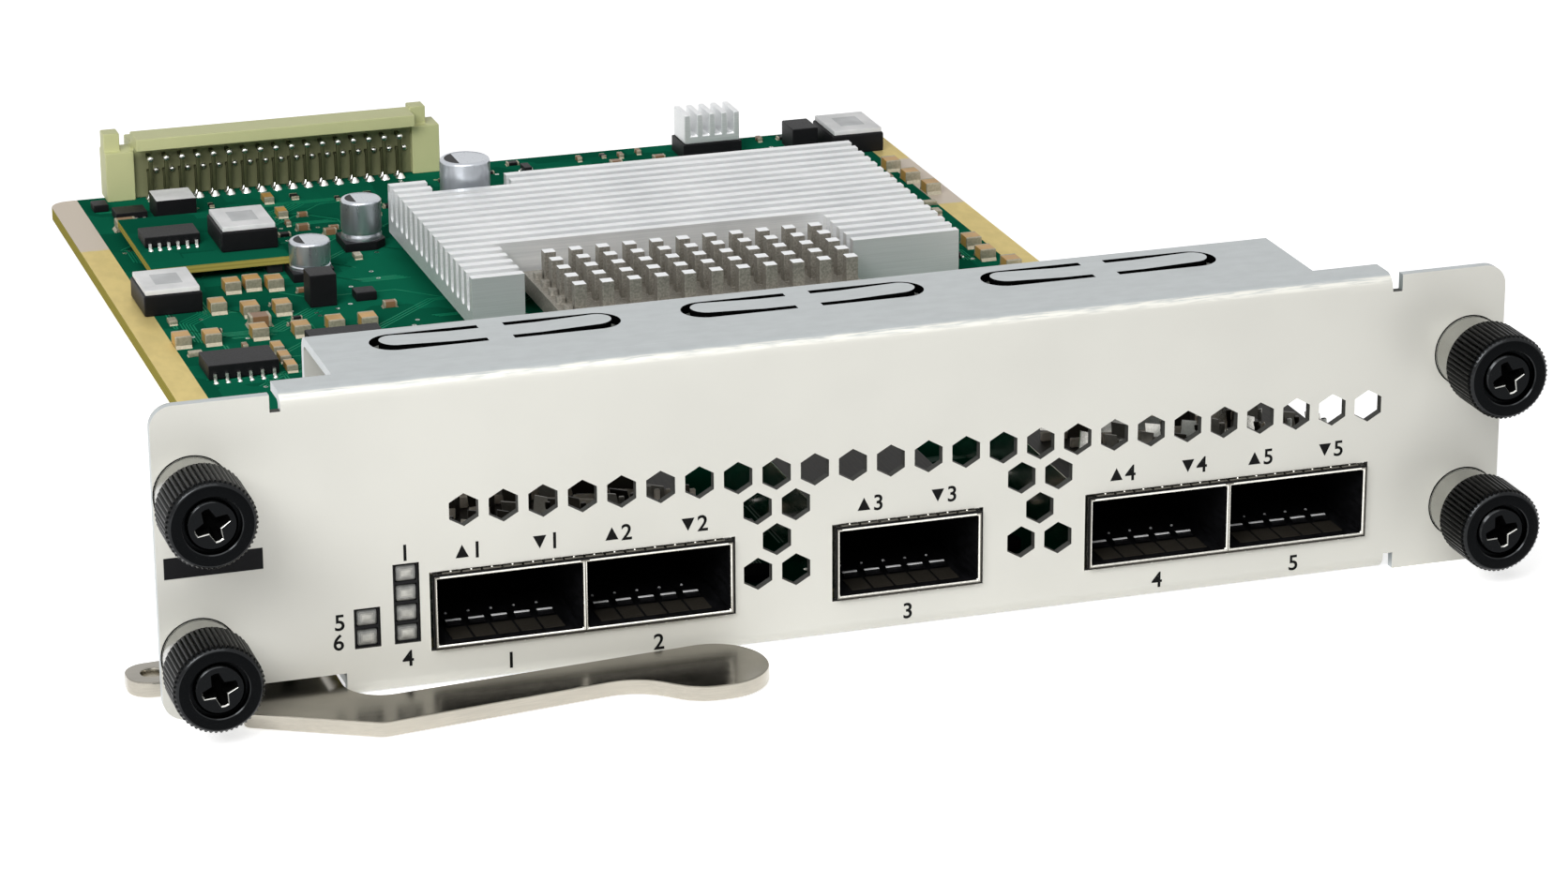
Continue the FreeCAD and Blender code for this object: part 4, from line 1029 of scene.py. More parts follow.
def thread_rows(start, tip, sizes):
    """Rows of a cut thread that runs out at the screw's tip."""
    pitch = sizes.thread_pitch
    outer = THREAD_RADIUS * MM
    core = outer - sizes.thread_depth

    def cut(height):
        def radius(angle):
            share = (height / pitch - angle / (2 * math.pi)) % 1.0
            crest = max(0.0, 1.0 - abs(share - 0.5) * THREAD_FLANK)
            fade = min(1.0, (tip - height) / (THREAD_FADE * pitch))
            return core + (outer - core) * crest * fade
        return radius

    count = int((tip - start) / pitch * THREAD_ROWS_PER_PITCH)
    heights = [start + (tip - start) * step / count for step in range(count + 1)]
    return [(cut(height), height) for height in heights] + [(core * TIP_SHARE, tip)]


def cut_cross(shape, axis, front, turn, sizes):
    """Opens a screw's front lid and sinks a tapered cross into it."""
    lids = [face for face in shape.faces if len(face.verts) == SCREW_COLUMNS]
    lid = min(lids, key=lambda face: face.calc_center_median().y)
    rim = list(lid.edges)
    bmesh.ops.delete(shape, geom=[lid], context="FACES_ONLY")
    levels = []
    for span, width, depth in CROSS_LEVELS:
        outline = cross_outline(sizes.recess_span * span, sizes.recess_width * width, turn)
        height = front + depth * sizes.recess_depth
        levels.append([shape.verts.new(axis @ Vector((x, y, height))) for x, y in outline])
    count = len(outline)
    lip = []
    for step in range(count):
        after = (step + 1) % count
        facing_up = levels[0][step].co.z + levels[0][after].co.z < 2 * axis.translation.z
        for above, below in zip(levels, levels[1:]):
            wall = shape.faces.new((above[step], above[after], below[after], below[step]))
            # Lips on the lower half of the cross face up and take the glint finish, a painted highlight; the
            # other walls and the floor take painted shade
            wall.material_index = LIT if facing_up and above is levels[0] else SHADED
        lip.append(shape.edges.get((levels[0][step], levels[0][after])))
    shape.faces.new(levels[-1]).material_index = SHADED
    bmesh.ops.triangle_fill(shape, edges=rim + lip, use_beauty=True)
    bmesh.ops.recalc_face_normals(shape, faces=shape.faces)


def captive_screw(name, turn, sizes):
    """A screw with a tapered cross in its head, a plain shank and a cut thread."""
    node = "screw_" + name
    low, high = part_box(node)
    axis = axis_of(node)
    front, tip = low.y, high.y
    head, hub = (high.x - low.x) / 2, sizes.hub_radius
    shank, lip = SHANK_RADIUS * MM, SCREW_LIP * MM
    head_end, hub_end = front + HEAD_DEPTH * MM, front + HUB_DEPTH * MM
    thread = tip - THREAD_LENGTH * MM
    rows = [
        (head - lip, front), (head, front + lip), (head, head_end), (hub, head_end), (hub, hub_end),
        (shank, hub_end), (shank, thread),
    ]
    solid = Shape()
    solid.revolve(rows + thread_rows(thread, tip, sizes), SCREW_COLUMNS, axis, 0, False, SCREW_POLISH)
    mesh = solid.mesh("captive_" + node)
    shape = bmesh.new()
    shape.from_mesh(mesh)
    cut_cross(shape, axis, front, turn, sizes)
    shape.to_mesh(mesh)
    shape.free()
    add_piece("captive_" + node, mesh, "thumbscrew_" + name, "screw_black", SCREW_FINISHES, [node])


class MODULE_OT_thumbscrews(bpy.types.Operator):
    """Build the four captive thumbscrews: sleeves, knurled knobs, screws and spring seats"""

    bl_idname = "module.thumbscrews"
    bl_label = "Thumbscrews"

    def execute(self, context):
        sizes = context.scene.module_sizes
        softened("screw_sleeves")
        # A thin black ring round each sleeve's foot: a painted shadow line where the sleeve meets the panel
        shadow_rings = Shape()
        near = sleeve_radius()
        far = near + SLEEVE_SHADOW * MM
        proud = panel_face - LABEL_THICKNESS * MM
        rows = ((near, panel_face), (far, panel_face), (far, proud), (near, proud))
        for name, turn in zip(SCREWS, CROSS_TURNS):
            shadow_rings.revolve(rows, SCREW_COLUMNS, axis_of("knob_" + name), 0, True)
            knob(name, sizes)
            captive_screw(name, math.radians(turn), sizes)
            softened("spring_seat_" + name)
        shadow_rings.piece("sleeve_joints", "card", "sleeve_nickel", ["panel_slit"])
        return {"FINISHED"}


class MODULE_OT_lever(bpy.types.Operator):
    """Finish the ejector lever and its pivot"""

    bl_idname = "module.lever"
    bl_label = "Ejector lever"

    def execute(self, context):
        for node in ("ejector_lever", "lever_rivet", "lever_washer"):
            softened(node)
        return {"FINISHED"}


BRIGHT, DARK, STRIP, ROOF, DOT, PALE, GREY = range(7)
CAGE_FINISHES = [
    "cage_nickel", "cage_inside", "strip_steel", "roof_steel", "pale_top", "spring_pale", "finger_grey",
]
# A cage's faces: the depth of its bright mouth, and how far its dark inside keeps from walls and rear
MOUTH_DEPTH = 0.35
BAY_SLACK = 0.05
WALL_SHARE = 0.9
REAR_MARGIN = 0.1
# Spring fingers in the floor of a port, the plates before them and the dimples behind them, in millimetres
FINGERS = 5
FINGER_PITCH = 2.93
FINGER_WIDTH = 2.0
FINGER_FRONT, FINGER_BEND, FINGER_ROOT = 3.4, 4.4, 7.6
FINGER_LIFT = 0.55
FINGER_SHEET = 0.12
EDGE_REACH = 0.2
PLATE_FRONT, PLATE_REAR = -0.5, 3.3
PLATE_WIDTH = 2.6
DIMPLE_SETBACK = 8.35
DIMPLE_RADIUS = 0.2
# Contact strips round a cage's nose, in millimetres
COLLAR_PITCH = 2.6
COLLAR_WIDTH = 2.3
COLLAR_SHEET = 0.14
COLLAR_FRONT, COLLAR_REAR = 0.25, 0.6
STUD_SETBACK = 0.5
STUD_RADIUS = 0.16
# Bright lip along the top of a port: its inset from the bay's sides, and its edges below the roof
LIP_INSET = 0.25
LIP_LOW, LIP_HIGH = 0.46, 0.2
LIP_PROUD = 0.04
# Roundings of the thinnest sheets, of lips and of the springs' feet and arms, in millimetres
SHEET_ROUNDING = 0.04
LIP_ROUNDING, EDGE_ROUNDING = 0.06, 0.08
FOOT_ROUNDING, ARM_ROUNDING = 0.12, 0.15
# Rows of springs on the roofs of the outer cages: setback, rise and half width, in millimetres
SPRING_ROWS = ((5.5, 4.0, 0.8), (9.0, 3.0, 1.0), (17.0, 1.6, 1.6), (20.5, 1.6, 1.6))
SPRING_PITCH = 4.7
# In pitches: the first spring from the cage's end, and the shift from row to row
SPRING_START, ROW_SHIFT = 0.9, 0.5
SPRING_END = 2.8
SPRING_SHEET = 0.25
FOOT_PROUD = 0.35
ARM_REACH, ARM_DEPTH, ARM_SHARE = 0.7, 0.6, 0.7
# Turn and tilt of a spring and how far they vary, in degrees
SPRING_TURN, SPRING_TILT = -18.0, 20.0
SPRING_SPREAD = 11.0
# How far a spring's width, rise, lean to the side and height vary
WIDTH_RANGE, RISE_RANGE = (0.8, 1.2), (0.6, 0.9)
LEAN_RANGE, HEIGHT_RANGE = (-0.2, 0.2), (1.4, 2.6)
# Finishes that a roof spring's blade and arm take at random: darker and lighter copies of one metal, painted
# light and shade. Every foot takes the pale finish, a painted highlight.
ROOF_SHADES = {"cage_left": (STRIP, ROOF, ROOF, PALE), "cage_right": (STRIP, BRIGHT, BRIGHT, ROOF)}


def cage_shade(cage, centres, sizes):
    """Tells a cage's finishes: painted shade inside the ports and on the outward faces at their mouths, steel
    on the fronts of the mouths, and bright metal elsewhere.
    """
    low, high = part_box(cage)
    half = sizes.bay_width / 2 + BAY_SLACK * MM
    wall = sizes.cage_wall * WALL_SHARE
    mouth, rear = low.y + MOUTH_DEPTH * MM, high.y - REAR_MARGIN * MM

    def pick(centre, normal):
        across = centre.x - min(centres, key=lambda x: abs(centre.x - x))
        in_height = low.z + wall < centre.z < high.z - wall
        if abs(across) < half and in_height and mouth < centre.y < rear:
            return DARK
        if centre.y < mouth and normal.y < -0.95:
            return STRIP
        outward = normal.x * across + normal.z * (centre.z - (low.z + high.z) / 2)
        # Outward faces at the mouth take the unlit finish: painted shade in the gap round the nose
        return DARK if centre.y < mouth and outward > 0 else BRIGHT

    return pick


def spring_finger(shape, x, floor):
    """A plate, a strip that rises behind it to an edge, and a dimple behind the strip. The plate and strip
    are painted dark as painted shade, the edge and dimple pale as painted highlights.
    """
    half, plate = FINGER_WIDTH / 2 * MM, PLATE_WIDTH / 2 * MM
    profile = ((FINGER_ROOT, 0.0), (FINGER_BEND, FINGER_LIFT), (FINGER_FRONT, FINGER_LIFT * 0.55))
    lower = [Vector((x - half, y * MM, floor + z * MM)) for y, z in profile]
    upper = [point + Vector((0, 0, FINGER_SHEET * MM)) for point in reversed(lower)]
    shape.slab(lower + upper, (2 * half, 0, 0), DARK)
    plate_high = (x + plate, PLATE_REAR * MM, floor + FINGER_SHEET * MM)
    shape.box((x - plate, PLATE_FRONT * MM, floor), plate_high, GREY, SHEET_ROUNDING * MM)
    low = (x - half, (FINGER_BEND - EDGE_REACH) * MM, floor + FINGER_LIFT * MM)
    high = (x + half, (FINGER_BEND + EDGE_REACH) * MM, floor + (FINGER_LIFT + EDGE_REACH) * MM)
    shape.box(low, high, DOT, EDGE_ROUNDING * MM)
    ball(shape, Vector((x, DIMPLE_SETBACK * MM, floor)), DIMPLE_RADIUS * MM, DOT)


def nose_collar(shape, low, high):
    """Short contact strips above and below a cage's nose, where it passes through the panel."""
    pitch, sheet = COLLAR_PITCH * MM, COLLAR_SHEET * MM
    count = int((high.x - low.x) / pitch)
    start = (low.x + high.x) / 2 - (count - 1) / 2 * pitch
    half = COLLAR_WIDTH / 2 * MM
    front, rear = low.y + COLLAR_FRONT * MM, COLLAR_REAR * MM
    for step in range(count):
        x = start + step * pitch
        for z in (high.z, low.z - sheet):
            shape.box((x - half, front, z), (x + half, rear, z + sheet), STRIP, SHEET_ROUNDING * MM)
        ball(shape, Vector((x, low.y + STUD_SETBACK * MM, high.z + sheet)), STUD_RADIUS * MM, BRIGHT)


def roof_springs(shape, low, high, chance, shades):
    """Rows of bent springs on a cage's roof, seen through the vents."""
    pitch, sheet = SPRING_PITCH * MM, SPRING_SHEET * MM
    count = int((high.x - low.x) / pitch) + 1
    for row, (setback, rise, width) in enumerate(SPRING_ROWS):
        front = setback * MM
        for step in range(count):
            x = high.x - (SPRING_START + step + row * ROW_SHIFT) * pitch
            if x < low.x + SPRING_END * MM:
                continue
            half = width * chance.uniform(*WIDTH_RANGE) * MM
            foot = high.z + rise * chance.uniform(*RISE_RANGE) * MM
            turn, tilt = (
                math.radians(angle + chance.uniform(-SPRING_SPREAD, SPRING_SPREAD))
                for angle in (SPRING_TURN, SPRING_TILT))
            side = Vector((math.cos(turn), math.sin(turn), 0)) * half
            lean = Vector((chance.uniform(*LEAN_RANGE), math.tan(tilt), 1.0))
            lean = lean * chance.uniform(*HEIGHT_RANGE) * MM
            middle = Vector((x, front, foot))
            outline = (middle - side, middle + side, middle + side + lean * 0.9, middle - side + lean)
            shape.slab(outline, (0, sheet, 0), chance.choice(shades))
            foot_low = (x - half, front - FOOT_PROUD * MM, high.z)
            shape.box(foot_low, (x + half, front + sheet, foot), PALE, FOOT_ROUNDING * MM)
            arm_high = (x + half + ARM_REACH * MM, front + ARM_DEPTH * MM, foot + lean.z * ARM_SHARE)
            shape.box((x + half, front, high.z), arm_high, chance.choice(shades), ARM_ROUNDING * MM)


class MODULE_OT_ports(bpy.types.Operator):
    """Build the port cages with their spring fingers, and the connectors inside them"""

    bl_idname = "module.ports"
    bl_label = "Ports"

    def execute(self, context):
        sizes = context.scene.module_sizes
        centres = bay_centres()
        chance = random.Random(11)
        fingers = Shape()
        for cage in CAGE_BAYS:
            low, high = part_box(cage)
            softened(cage, CAGE_FINISHES, cage_shade(cage, centres, sizes))
            nose_collar(fingers, low, high)
            if cage in ROOF_SHADES:
                roof_springs(fingers, low, high, chance, ROOF_SHADES[cage])
        low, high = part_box("cage_left")
        reach = sizes.bay_width / 2 - LIP_INSET * MM
        for x in centres:
            lip_low = (x - reach, low.y - LIP_PROUD * MM, high.z - LIP_LOW * MM)
            lip_high = (x + reach, low.y + LIP_INSET * MM, high.z - LIP_HIGH * MM)
            fingers.box(lip_low, lip_high, BRIGHT, LIP_ROUNDING * MM)
            for step in range(FINGERS):
                place = x + (step - (FINGERS - 1) / 2) * FINGER_PITCH * MM
                spring_finger(fingers, place, low.z + sizes.cage_wall)
        fingers.piece("port_fingers", "card", "cage_nickel", CAGE_FINISHES)
        softened("host_connectors")
        return {"FINISHED"}


# A lens's rounding, and the layers of its face from the rim inwards: inset and how far proud, in millimetres
LENS_ROUNDING = 0.32
LAYER_ROUNDING = 0.16
LENS_LAYERS = ((0.2, 0.02), (0.36, 0.035), (0.56, 0.05))
LENS_FINISHES = ["lens_clear", "lens_haze", "lamp_diode", "lamp_heart"]


class MODULE_OT_lamps(bpy.types.Operator):
    """Build the lamp blocks and their lenses"""

    bl_idname = "module.lamps"
    bl_label = "Lamps"

    def execute(self, context):
        for node in ("lamp_block_two", "lamp_block_four"):
            softened(node)
        lenses = Shape()
        for low, high in solid_boxes("lamp_lenses"):
            lenses.box(low, high, 0, LENS_ROUNDING * MM)
            for index, (inset, proud) in enumerate(LENS_LAYERS, 1):
                margin = Vector((inset, 0.0, inset)) * MM
                front = Vector((low.x, low.y - proud * MM, low.z))
                back = Vector((high.x, low.y + LENS_ROUNDING * MM, high.z))
                lenses.box(front + margin, back - margin, index, LAYER_ROUNDING * MM)
        lenses.piece("lamp_lens_set", "card", "lens_clear", LENS_FINISHES, ["lamp_lenses"])
        return {"FINISHED"}


# Tracks, rings and small parts on the board, in millimetres
BOARD_MARGIN = 5.6
END_MARGIN = 2.0
TRACK_BUNDLES = 150
TRACK_WIDTH = 0.22
TRACK_PITCH = 0.62
TRACK_DEPTH = 0.02
TRACK_RUN = (4.0, 16.0)
# Which way the tracks of a bundle are set off, in pitches
TRACK_SHIFT = (0.7, -0.7)
RING_COUNT = 420
RING_RADIUS = 0.36
RING_BORE = 0.162
RING_COLUMNS = 10
# How much higher than a track a ring stands
RING_RISE = 1.6
CELL = 0.5
PART_TRIES = 1500
PART_ROOM = 0.45
# Solids between these heights over the board take up its ground
GROUND_LOW, GROUND_HIGH = 0.1, 8.0


def ribbon(shape, points, width, z, depth, index=0):
    """A flat track along a run of points in plan."""
    left, right = [], []
    for step, point in enumerate(points):
        before = points[max(step - 1, 0)]
        after = points[min(step + 1, len(points) - 1)]
        run = Vector((after[0] - before[0], after[1] - before[1]))
        side = Vector((-run.y, run.x)).normalized() * width / 2
        left.append(Vector((point[0] + side.x, point[1] + side.y, z)))
        right.append(Vector((point[0] - side.x, point[1] - side.y, z)))
    for step in range(len(points) - 1):
        outline = (left[step], left[step + 1], right[step + 1], right[step])
        shape.slab(outline, (0, 0, depth), index)


def track_bundle(shape, chance, z, depth):
    """A few tracks side by side that turn by 45 degrees once or twice."""
    low_x, high_x = board_low.x + BOARD_MARGIN * MM, board_high.x - BOARD_MARGIN * MM
    low_y, high_y = board_low.y + BOARD_MARGIN * MM, board_high.y - BOARD_MARGIN * MM
    heading = chance.randrange(8) * 45
    point = Vector((chance.uniform(low_x, high_x), chance.uniform(low_y, high_y)))
    route = [point]
    for leg in range(chance.randint(2, 4)):
        run = Vector((math.cos(math.radians(heading)), math.sin(math.radians(heading))))
        route.append(route[-1] + run * chance.uniform(*TRACK_RUN) * MM)
        heading += chance.choice((-45, 45))
    for track in range(chance.randint(1, 5)):
        shift = Vector(TRACK_SHIFT) * track * TRACK_PITCH * MM
        points = [(p.x + shift.x, p.y + shift.y) for p in route]
        inside = [p for p in points if low_x < p[0] < high_x and low_y < p[1] < high_y]
        if len(inside) > 1 and inside == points[:len(inside)]:
            ribbon(shape, inside, TRACK_WIDTH * MM, z, depth)


def board_relief():
    """Tracks, and rings round plated holes, on both faces of the board."""
    chance = random.Random(7)
    tracks, rings = Shape(), Shape()
    margin = BOARD_MARGIN * MM
    outer, bore = RING_RADIUS * MM, RING_BORE * MM
    for z, depth in ((board_top, TRACK_DEPTH * MM), (board_low.z, -TRACK_DEPTH * MM)):
        rise = depth * RING_RISE
        rows = ((outer, 0), (outer, rise), (bore, rise), (bore, 0))
        for bundle in range(TRACK_BUNDLES):
            track_bundle(tracks, chance, z, depth)
        for ring in range(RING_COUNT):
            x = chance.uniform(board_low.x + margin, board_high.x - margin)
            y = chance.uniform(board_low.y + margin, board_high.y - margin)
            rings.revolve(rows, RING_COLUMNS, upright(x, y, z), 0, True)
    tracks.piece("board_tracks", "card", "board_green", ["board_trace"])
    rings.piece("board_rings", "card", "board_green", ["pin_tin"])


class Plan:
    """Which parts of the board are taken, in small square cells."""

    def __init__(self):
        self.taken = set()

    def cells(self, low, high):
        for column in range(int(low[0] / MM / CELL) - 1, int(high[0] / MM / CELL) + 1):
            for row in range(int(low[1] / MM / CELL) - 1, int(high[1] / MM / CELL) + 1):
                yield column, row

    def take_solids(self):
        """Marks the ground under every solid that stands on the board."""
        for name, piece in frame["nodes"].items():
            low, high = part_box(name)
            stands = low.z < board_top + GROUND_HIGH * MM and high.z > board_top + GROUND_LOW * MM
            if not stands or name in ("main_board", "front_panel"):
                continue
            for face in piece.data.polygons:
                points = [piece.data.vertices[index].co for index in face.vertices]
                corner = [min(p[axis] for p in points) for axis in range(2)]
                other = [max(p[axis] for p in points) for axis in range(2)]
                self.taken.update(self.cells(corner, other))

    def claim(self, low, high):
        """Takes a rectangle if all of it is free."""
        wanted = set(self.cells(low, high))
        if wanted & self.taken:
            return False
        self.taken |= wanted
        return True


BODY_BROWN, BODY_BLACK, BODY_TAN, METAL, END = range(5)
SMALL_FINISHES = ["ceramic_brown", "black_moulding", "ceramic_tan", "pin_tin", "cap_end"]
# Small parts: length, width, height, body's finish, and how often they come
CHIP_KINDS = (
    (1.6, 0.8, 0.75, BODY_BROWN, 9),
    (1.6, 0.8, 0.45, BODY_BLACK, 9),
    (2.0, 1.25, 1.0, BODY_BROWN, 5),
    (2.0, 1.25, 0.55, BODY_BLACK, 4),
    (3.2, 2.5, 1.8, BODY_TAN, 1),
)
# A small transistor: its ground, how often it comes, its body, and its leads' places and sides
TRANSISTOR_LENGTH, TRANSISTOR_WIDTH, TRANSISTOR_WEIGHT = 3.2, 2.6, 3
TRANSISTOR_LOW, TRANSISTOR_HIGH = (-1.45, -0.65, 0.1), (1.45, 0.65, 1.05)
TRANSISTOR_ROUNDING = 0.12
TRANSISTOR_LEADS = ((-0.95, -1), (0.95, -1), (0.0, 1))
# Width, height and reach of each lead
TRANSISTOR_LEAD = (0.4, 0.5, 0.6)
# Thickness of a bent lead's sheet
LEAD_SHEET = 0.16
# The solder on a lead's foot: shares of its widest radius, and heights in thicknesses of the sheet
LEAD_SOLDER = ((1.0, 0.0), (0.85, 0.9), (0.45, 1.9), (0.1, 2.2))
# A lead's bend and its solder's radius as shares of its reach, and the solder's setback
LEAD_KNEE, SOLDER_SHARE, SOLDER_BACK = 0.35, 0.3, 0.4
LEAD_COLUMNS = 10
# A capped part: a cap's share of the length and how much of it is solid, then the body's width and height
CAP_SHARE, CAP_SOLID = 0.15, 0.8
BODY_WIDTH, BODY_HEIGHT = 0.97, 0.98
# The gap under the body, in millimetres, and the roundings of body and cap as shares of the height
BODY_GAP = 0.04
BODY_ROUNDING, CAP_ROUNDING = 0.06, 0.1
# The solder against a cap: its reach and rise as shares of the height, and its share of the width
FILLET_REACH, FILLET_RISE, FILLET_WIDTH = 0.2, 0.25, 0.95


def end_cap_part(size, body):
    """A block with a metal cap on each end and a solder fillet against each cap, lying along X."""
    long_side, width, height = size
    cap = long_side * CAP_SHARE
    half, side = long_side / 2, width / 2
    shape = Shape()
    inner, waist = half - cap * CAP_SOLID, side * BODY_WIDTH
    low, high = (-inner, -waist, BODY_GAP * MM), (inner, waist, height * BODY_HEIGHT)
    shape.box(low, high, body, height * BODY_ROUNDING)
    for end in (-1, 1):
        inner, outer = end * (half - cap), end * half
        low, high = (min(inner, outer), -side, 0.0), (max(inner, outer), side, height)
        shape.box(low, high, END, height * CAP_ROUNDING)
        reach, fillet = outer + end * height * FILLET_REACH, side * FILLET_WIDTH
        profile = ((outer, -fillet, 0), (reach, -fillet, 0), (outer, -fillet, height * FILLET_RISE))
        shape.slab(profile, (0, fillet * 2, 0), END)
    return shape


def small_transistor():
    """A three-legged black part."""
    shape = Shape()
    low, high = Vector(TRANSISTOR_LOW) * MM, Vector(TRANSISTOR_HIGH) * MM
    shape.box(low, high, BODY_BLACK, TRANSISTOR_ROUNDING * MM)
    lead = [side * MM for side in TRANSISTOR_LEAD]
    for x, side in TRANSISTOR_LEADS:
        gull_lead(shape, x * MM, side * high.y, side, *lead, METAL)
    return shape


def gull_lead(shape, x, edge, side, width, height, reach, index, base=0.0):
    """A bent lead from a chip's side down to the board, and its solder."""
    sheet = LEAD_SHEET * MM
    knee = edge + side * reach * LEAD_KNEE
    foot = edge + side * reach
    outline = (
        (edge, height), (knee, height), (knee + side * sheet, sheet), (foot, sheet), (foot, 0.0),
        (knee, 0.0), (knee - side * sheet, height - sheet), (edge, height - sheet),
    )
    points = [(x - width / 2, y, base + z) for y, z in outline]
    shape.slab(points, (width, 0, 0), index)
    solder = reach * SOLDER_SHARE
    rows = [(solder * radius, sheet * rise) for radius, rise in LEAD_SOLDER]
    shape.revolve(rows, LEAD_COLUMNS, upright(x, foot - side * solder * SOLDER_BACK, base), index)


# Kinds of parts with a place of their own: length, width, height and body's finish
PLACED_KINDS = {
    "brown": (2.0, 1.25, 1.0, BODY_BROWN),
    "large_brown": (3.2, 2.5, 1.8, BODY_BROWN),
    "tan": (3.2, 1.6, 1.1, BODY_TAN),
    "black": (2.0, 1.6, 0.9, BODY_BLACK),
    "pale": (2.0, 1.25, 0.7, END),
}
# Parts with a place: kind, from the board's left edge, from its rear edge, and turned or not
PLACED_PARTS = (
    ("tan", 33.2, 10.5, True), ("tan", 33.6, 18.9, True), ("brown", 35.1, 27.6, False),
    ("brown", 38.6, 31.2, False), ("transistor", 15.1, 69.4, False), ("large_brown", 18.4, 72.6, False),
    ("black", 21.4, 71.6, True), ("brown", 14.5, 60.5, False), ("tan", 18.3, 85.0, True),
    ("tan", 18.3, 89.4, True), ("tan", 18.3, 93.8, True), ("tan", 20.2, 87.0, True),
    ("tan", 20.2, 91.4, True), ("pale", 6.6, 83.4, False), ("pale", 9.4, 84.2, False),
    ("pale", 39.8, 44.6, True), ("pale", 41.6, 44.9, True), ("pale", 6.4, 67.6, True),
    ("brown", 38.7, 70.0, False), ("large_brown", 8.9, 18.6, False), ("pale", 12.0, 18.2, True),
    ("black", 132.5, 73.9, False), ("black", 129.0, 71.2, True), ("large_brown", 129.6, 75.4, False),
    ("large_brown", 131.4, 65.2, True), ("pale", 131.8, 51.2, True), ("pale", 132.4, 46.4, False),
    ("black", 132.2, 42.4, True), ("brown", 132.4, 23.9, False), ("black", 132.2, 15.8, True),
)
# Ground that stays bare: left and right from the board's left edge, near and far from its rear edge
CLEAR_GROUND = ((32.0, 46.5, 47.0, 125.0), (4.5, 17.5, 97.0, 112.0), (56.0, 110.0, 147.0, 168.0))


def set_down(parts, shape, x, y, turned):
    """Sets a part on the board, turned by a quarter or not."""
    place = upright(x, y, board_top)
    parts.join(shape, place @ Matrix.Rotation(QUARTER_TURN, 4, "Z") if turned else place)


def place_parts(plan, parts):
    """Sets the parts that the photograph shows, then keeps the bare ground clear."""
    for kind, across, back, turned in PLACED_PARTS:
        if kind == "transistor":
            shape, long_side, short_side = small_transistor(), TRANSISTOR_LENGTH, TRANSISTOR_WIDTH
        else:
            long_side, short_side, height, body = PLACED_KINDS[kind]
            shape = end_cap_part((long_side * MM, short_side * MM, height * MM), body)
        x, y = board_low.x + across * MM, board_high.y - back * MM
        size = (short_side, long_side) if turned else (long_side, short_side)
        reach = [side / 2 * MM for side in size]
        if plan.claim((x - reach[0], y - reach[1]), (x + reach[0], y + reach[1])):
            set_down(parts, shape, x, y, turned)
    for left, right, near, far in CLEAR_GROUND:
        low = (board_low.x + left * MM, board_high.y - far * MM)
        plan.taken.update(plan.cells(low, (board_low.x + right * MM, board_high.y - near * MM)))


def small_parts(plan):
    """Sets the placed parts, then scatters others over the free ground of the board."""
    chance = random.Random(21)
    kinds = []
    for long_side, short_side, height, body, weight in CHIP_KINDS:
        shape = end_cap_part((long_side * MM, short_side * MM, height * MM), body)
        kinds.append((shape, long_side, short_side, weight))
    kinds.append((small_transistor(), TRANSISTOR_LENGTH, TRANSISTOR_WIDTH, TRANSISTOR_WEIGHT))
    weights = [kind[3] for kind in kinds]
    parts = Shape()
    place_parts(plan, parts)
    low_x, high_x = board_low.x / MM + BOARD_MARGIN, board_high.x / MM - BOARD_MARGIN
    low_y, high_y = board_low.y / MM + END_MARGIN, board_high.y / MM - END_MARGIN
    for attempt in range(PART_TRIES):
        shape, long_side, short_side, weight = chance.choices(kinds, weights)[0]
        turned = chance.random() < 0.5
        size = (short_side, long_side) if turned else (long_side, short_side)
        x, y = chance.uniform(low_x, high_x), chance.uniform(low_y, high_y)
        reach = [side / 2 + PART_ROOM for side in size]
        low, high = ((x - reach[0]) * MM, (y - reach[1]) * MM), ((x + reach[0]) * MM, (y + reach[1]) * MM)
        if low[0] < board_low.x + BOARD_MARGIN * MM or high[0] > board_high.x - BOARD_MARGIN * MM:
            continue
        if plan.claim(low, high):
            set_down(parts, shape, x * MM, y * MM, turned)
    parts.piece("small_parts", "card", "black_moulding", SMALL_FINISHES)


class MODULE_OT_board(bpy.types.Operator):
    """Finish the circuit board with tracks, plated holes, small parts and fixings"""

    bl_idname = "module.board"
    bl_label = "Circuit board"

    def execute(self, context):
        softened("main_board")
        board_relief()
        plan = Plan()
        plan.take_solids()
        small_parts(plan)
        softened("board_standoffs")
        softened("board_screws")
        return {"FINISHED"}


class MODULE_OT_heatsinks(bpy.types.Operator):
    """Finish the three heatsinks and the chips and pads under them"""

    bl_idname = "module.heatsinks"
    bl_label = "Heatsinks"

    def execute(self, context):
        sinks = ("main_heatsink", "pin_fin_heatsink", "ribbed_heatsink")
        chips = ("main_chip", "line_chip", "power_package")
        for node in sinks + chips + ("main_thermal_pad", "line_thermal_pad"):
            softened(node)
        return {"FINISHED"}


# Radius of the bead on a pin's bend, as a share of the pin's width
ELBOW_SHARE = 0.85
# The solder round a pin, radius and height as shares of the pin's width
PIN_SOLDER = ((1.25, 0.0), (1.1, 0.35), (0.72, 0.9), (0.55, 1.3))
SOLDER_COLUMNS = 14
# The lower contacts in the wall: their shift to the right of the pins, and the wall behind the nearer pins
CONTACT_SHIFT = 1.27
WALL_BEHIND_PINS = 1.1


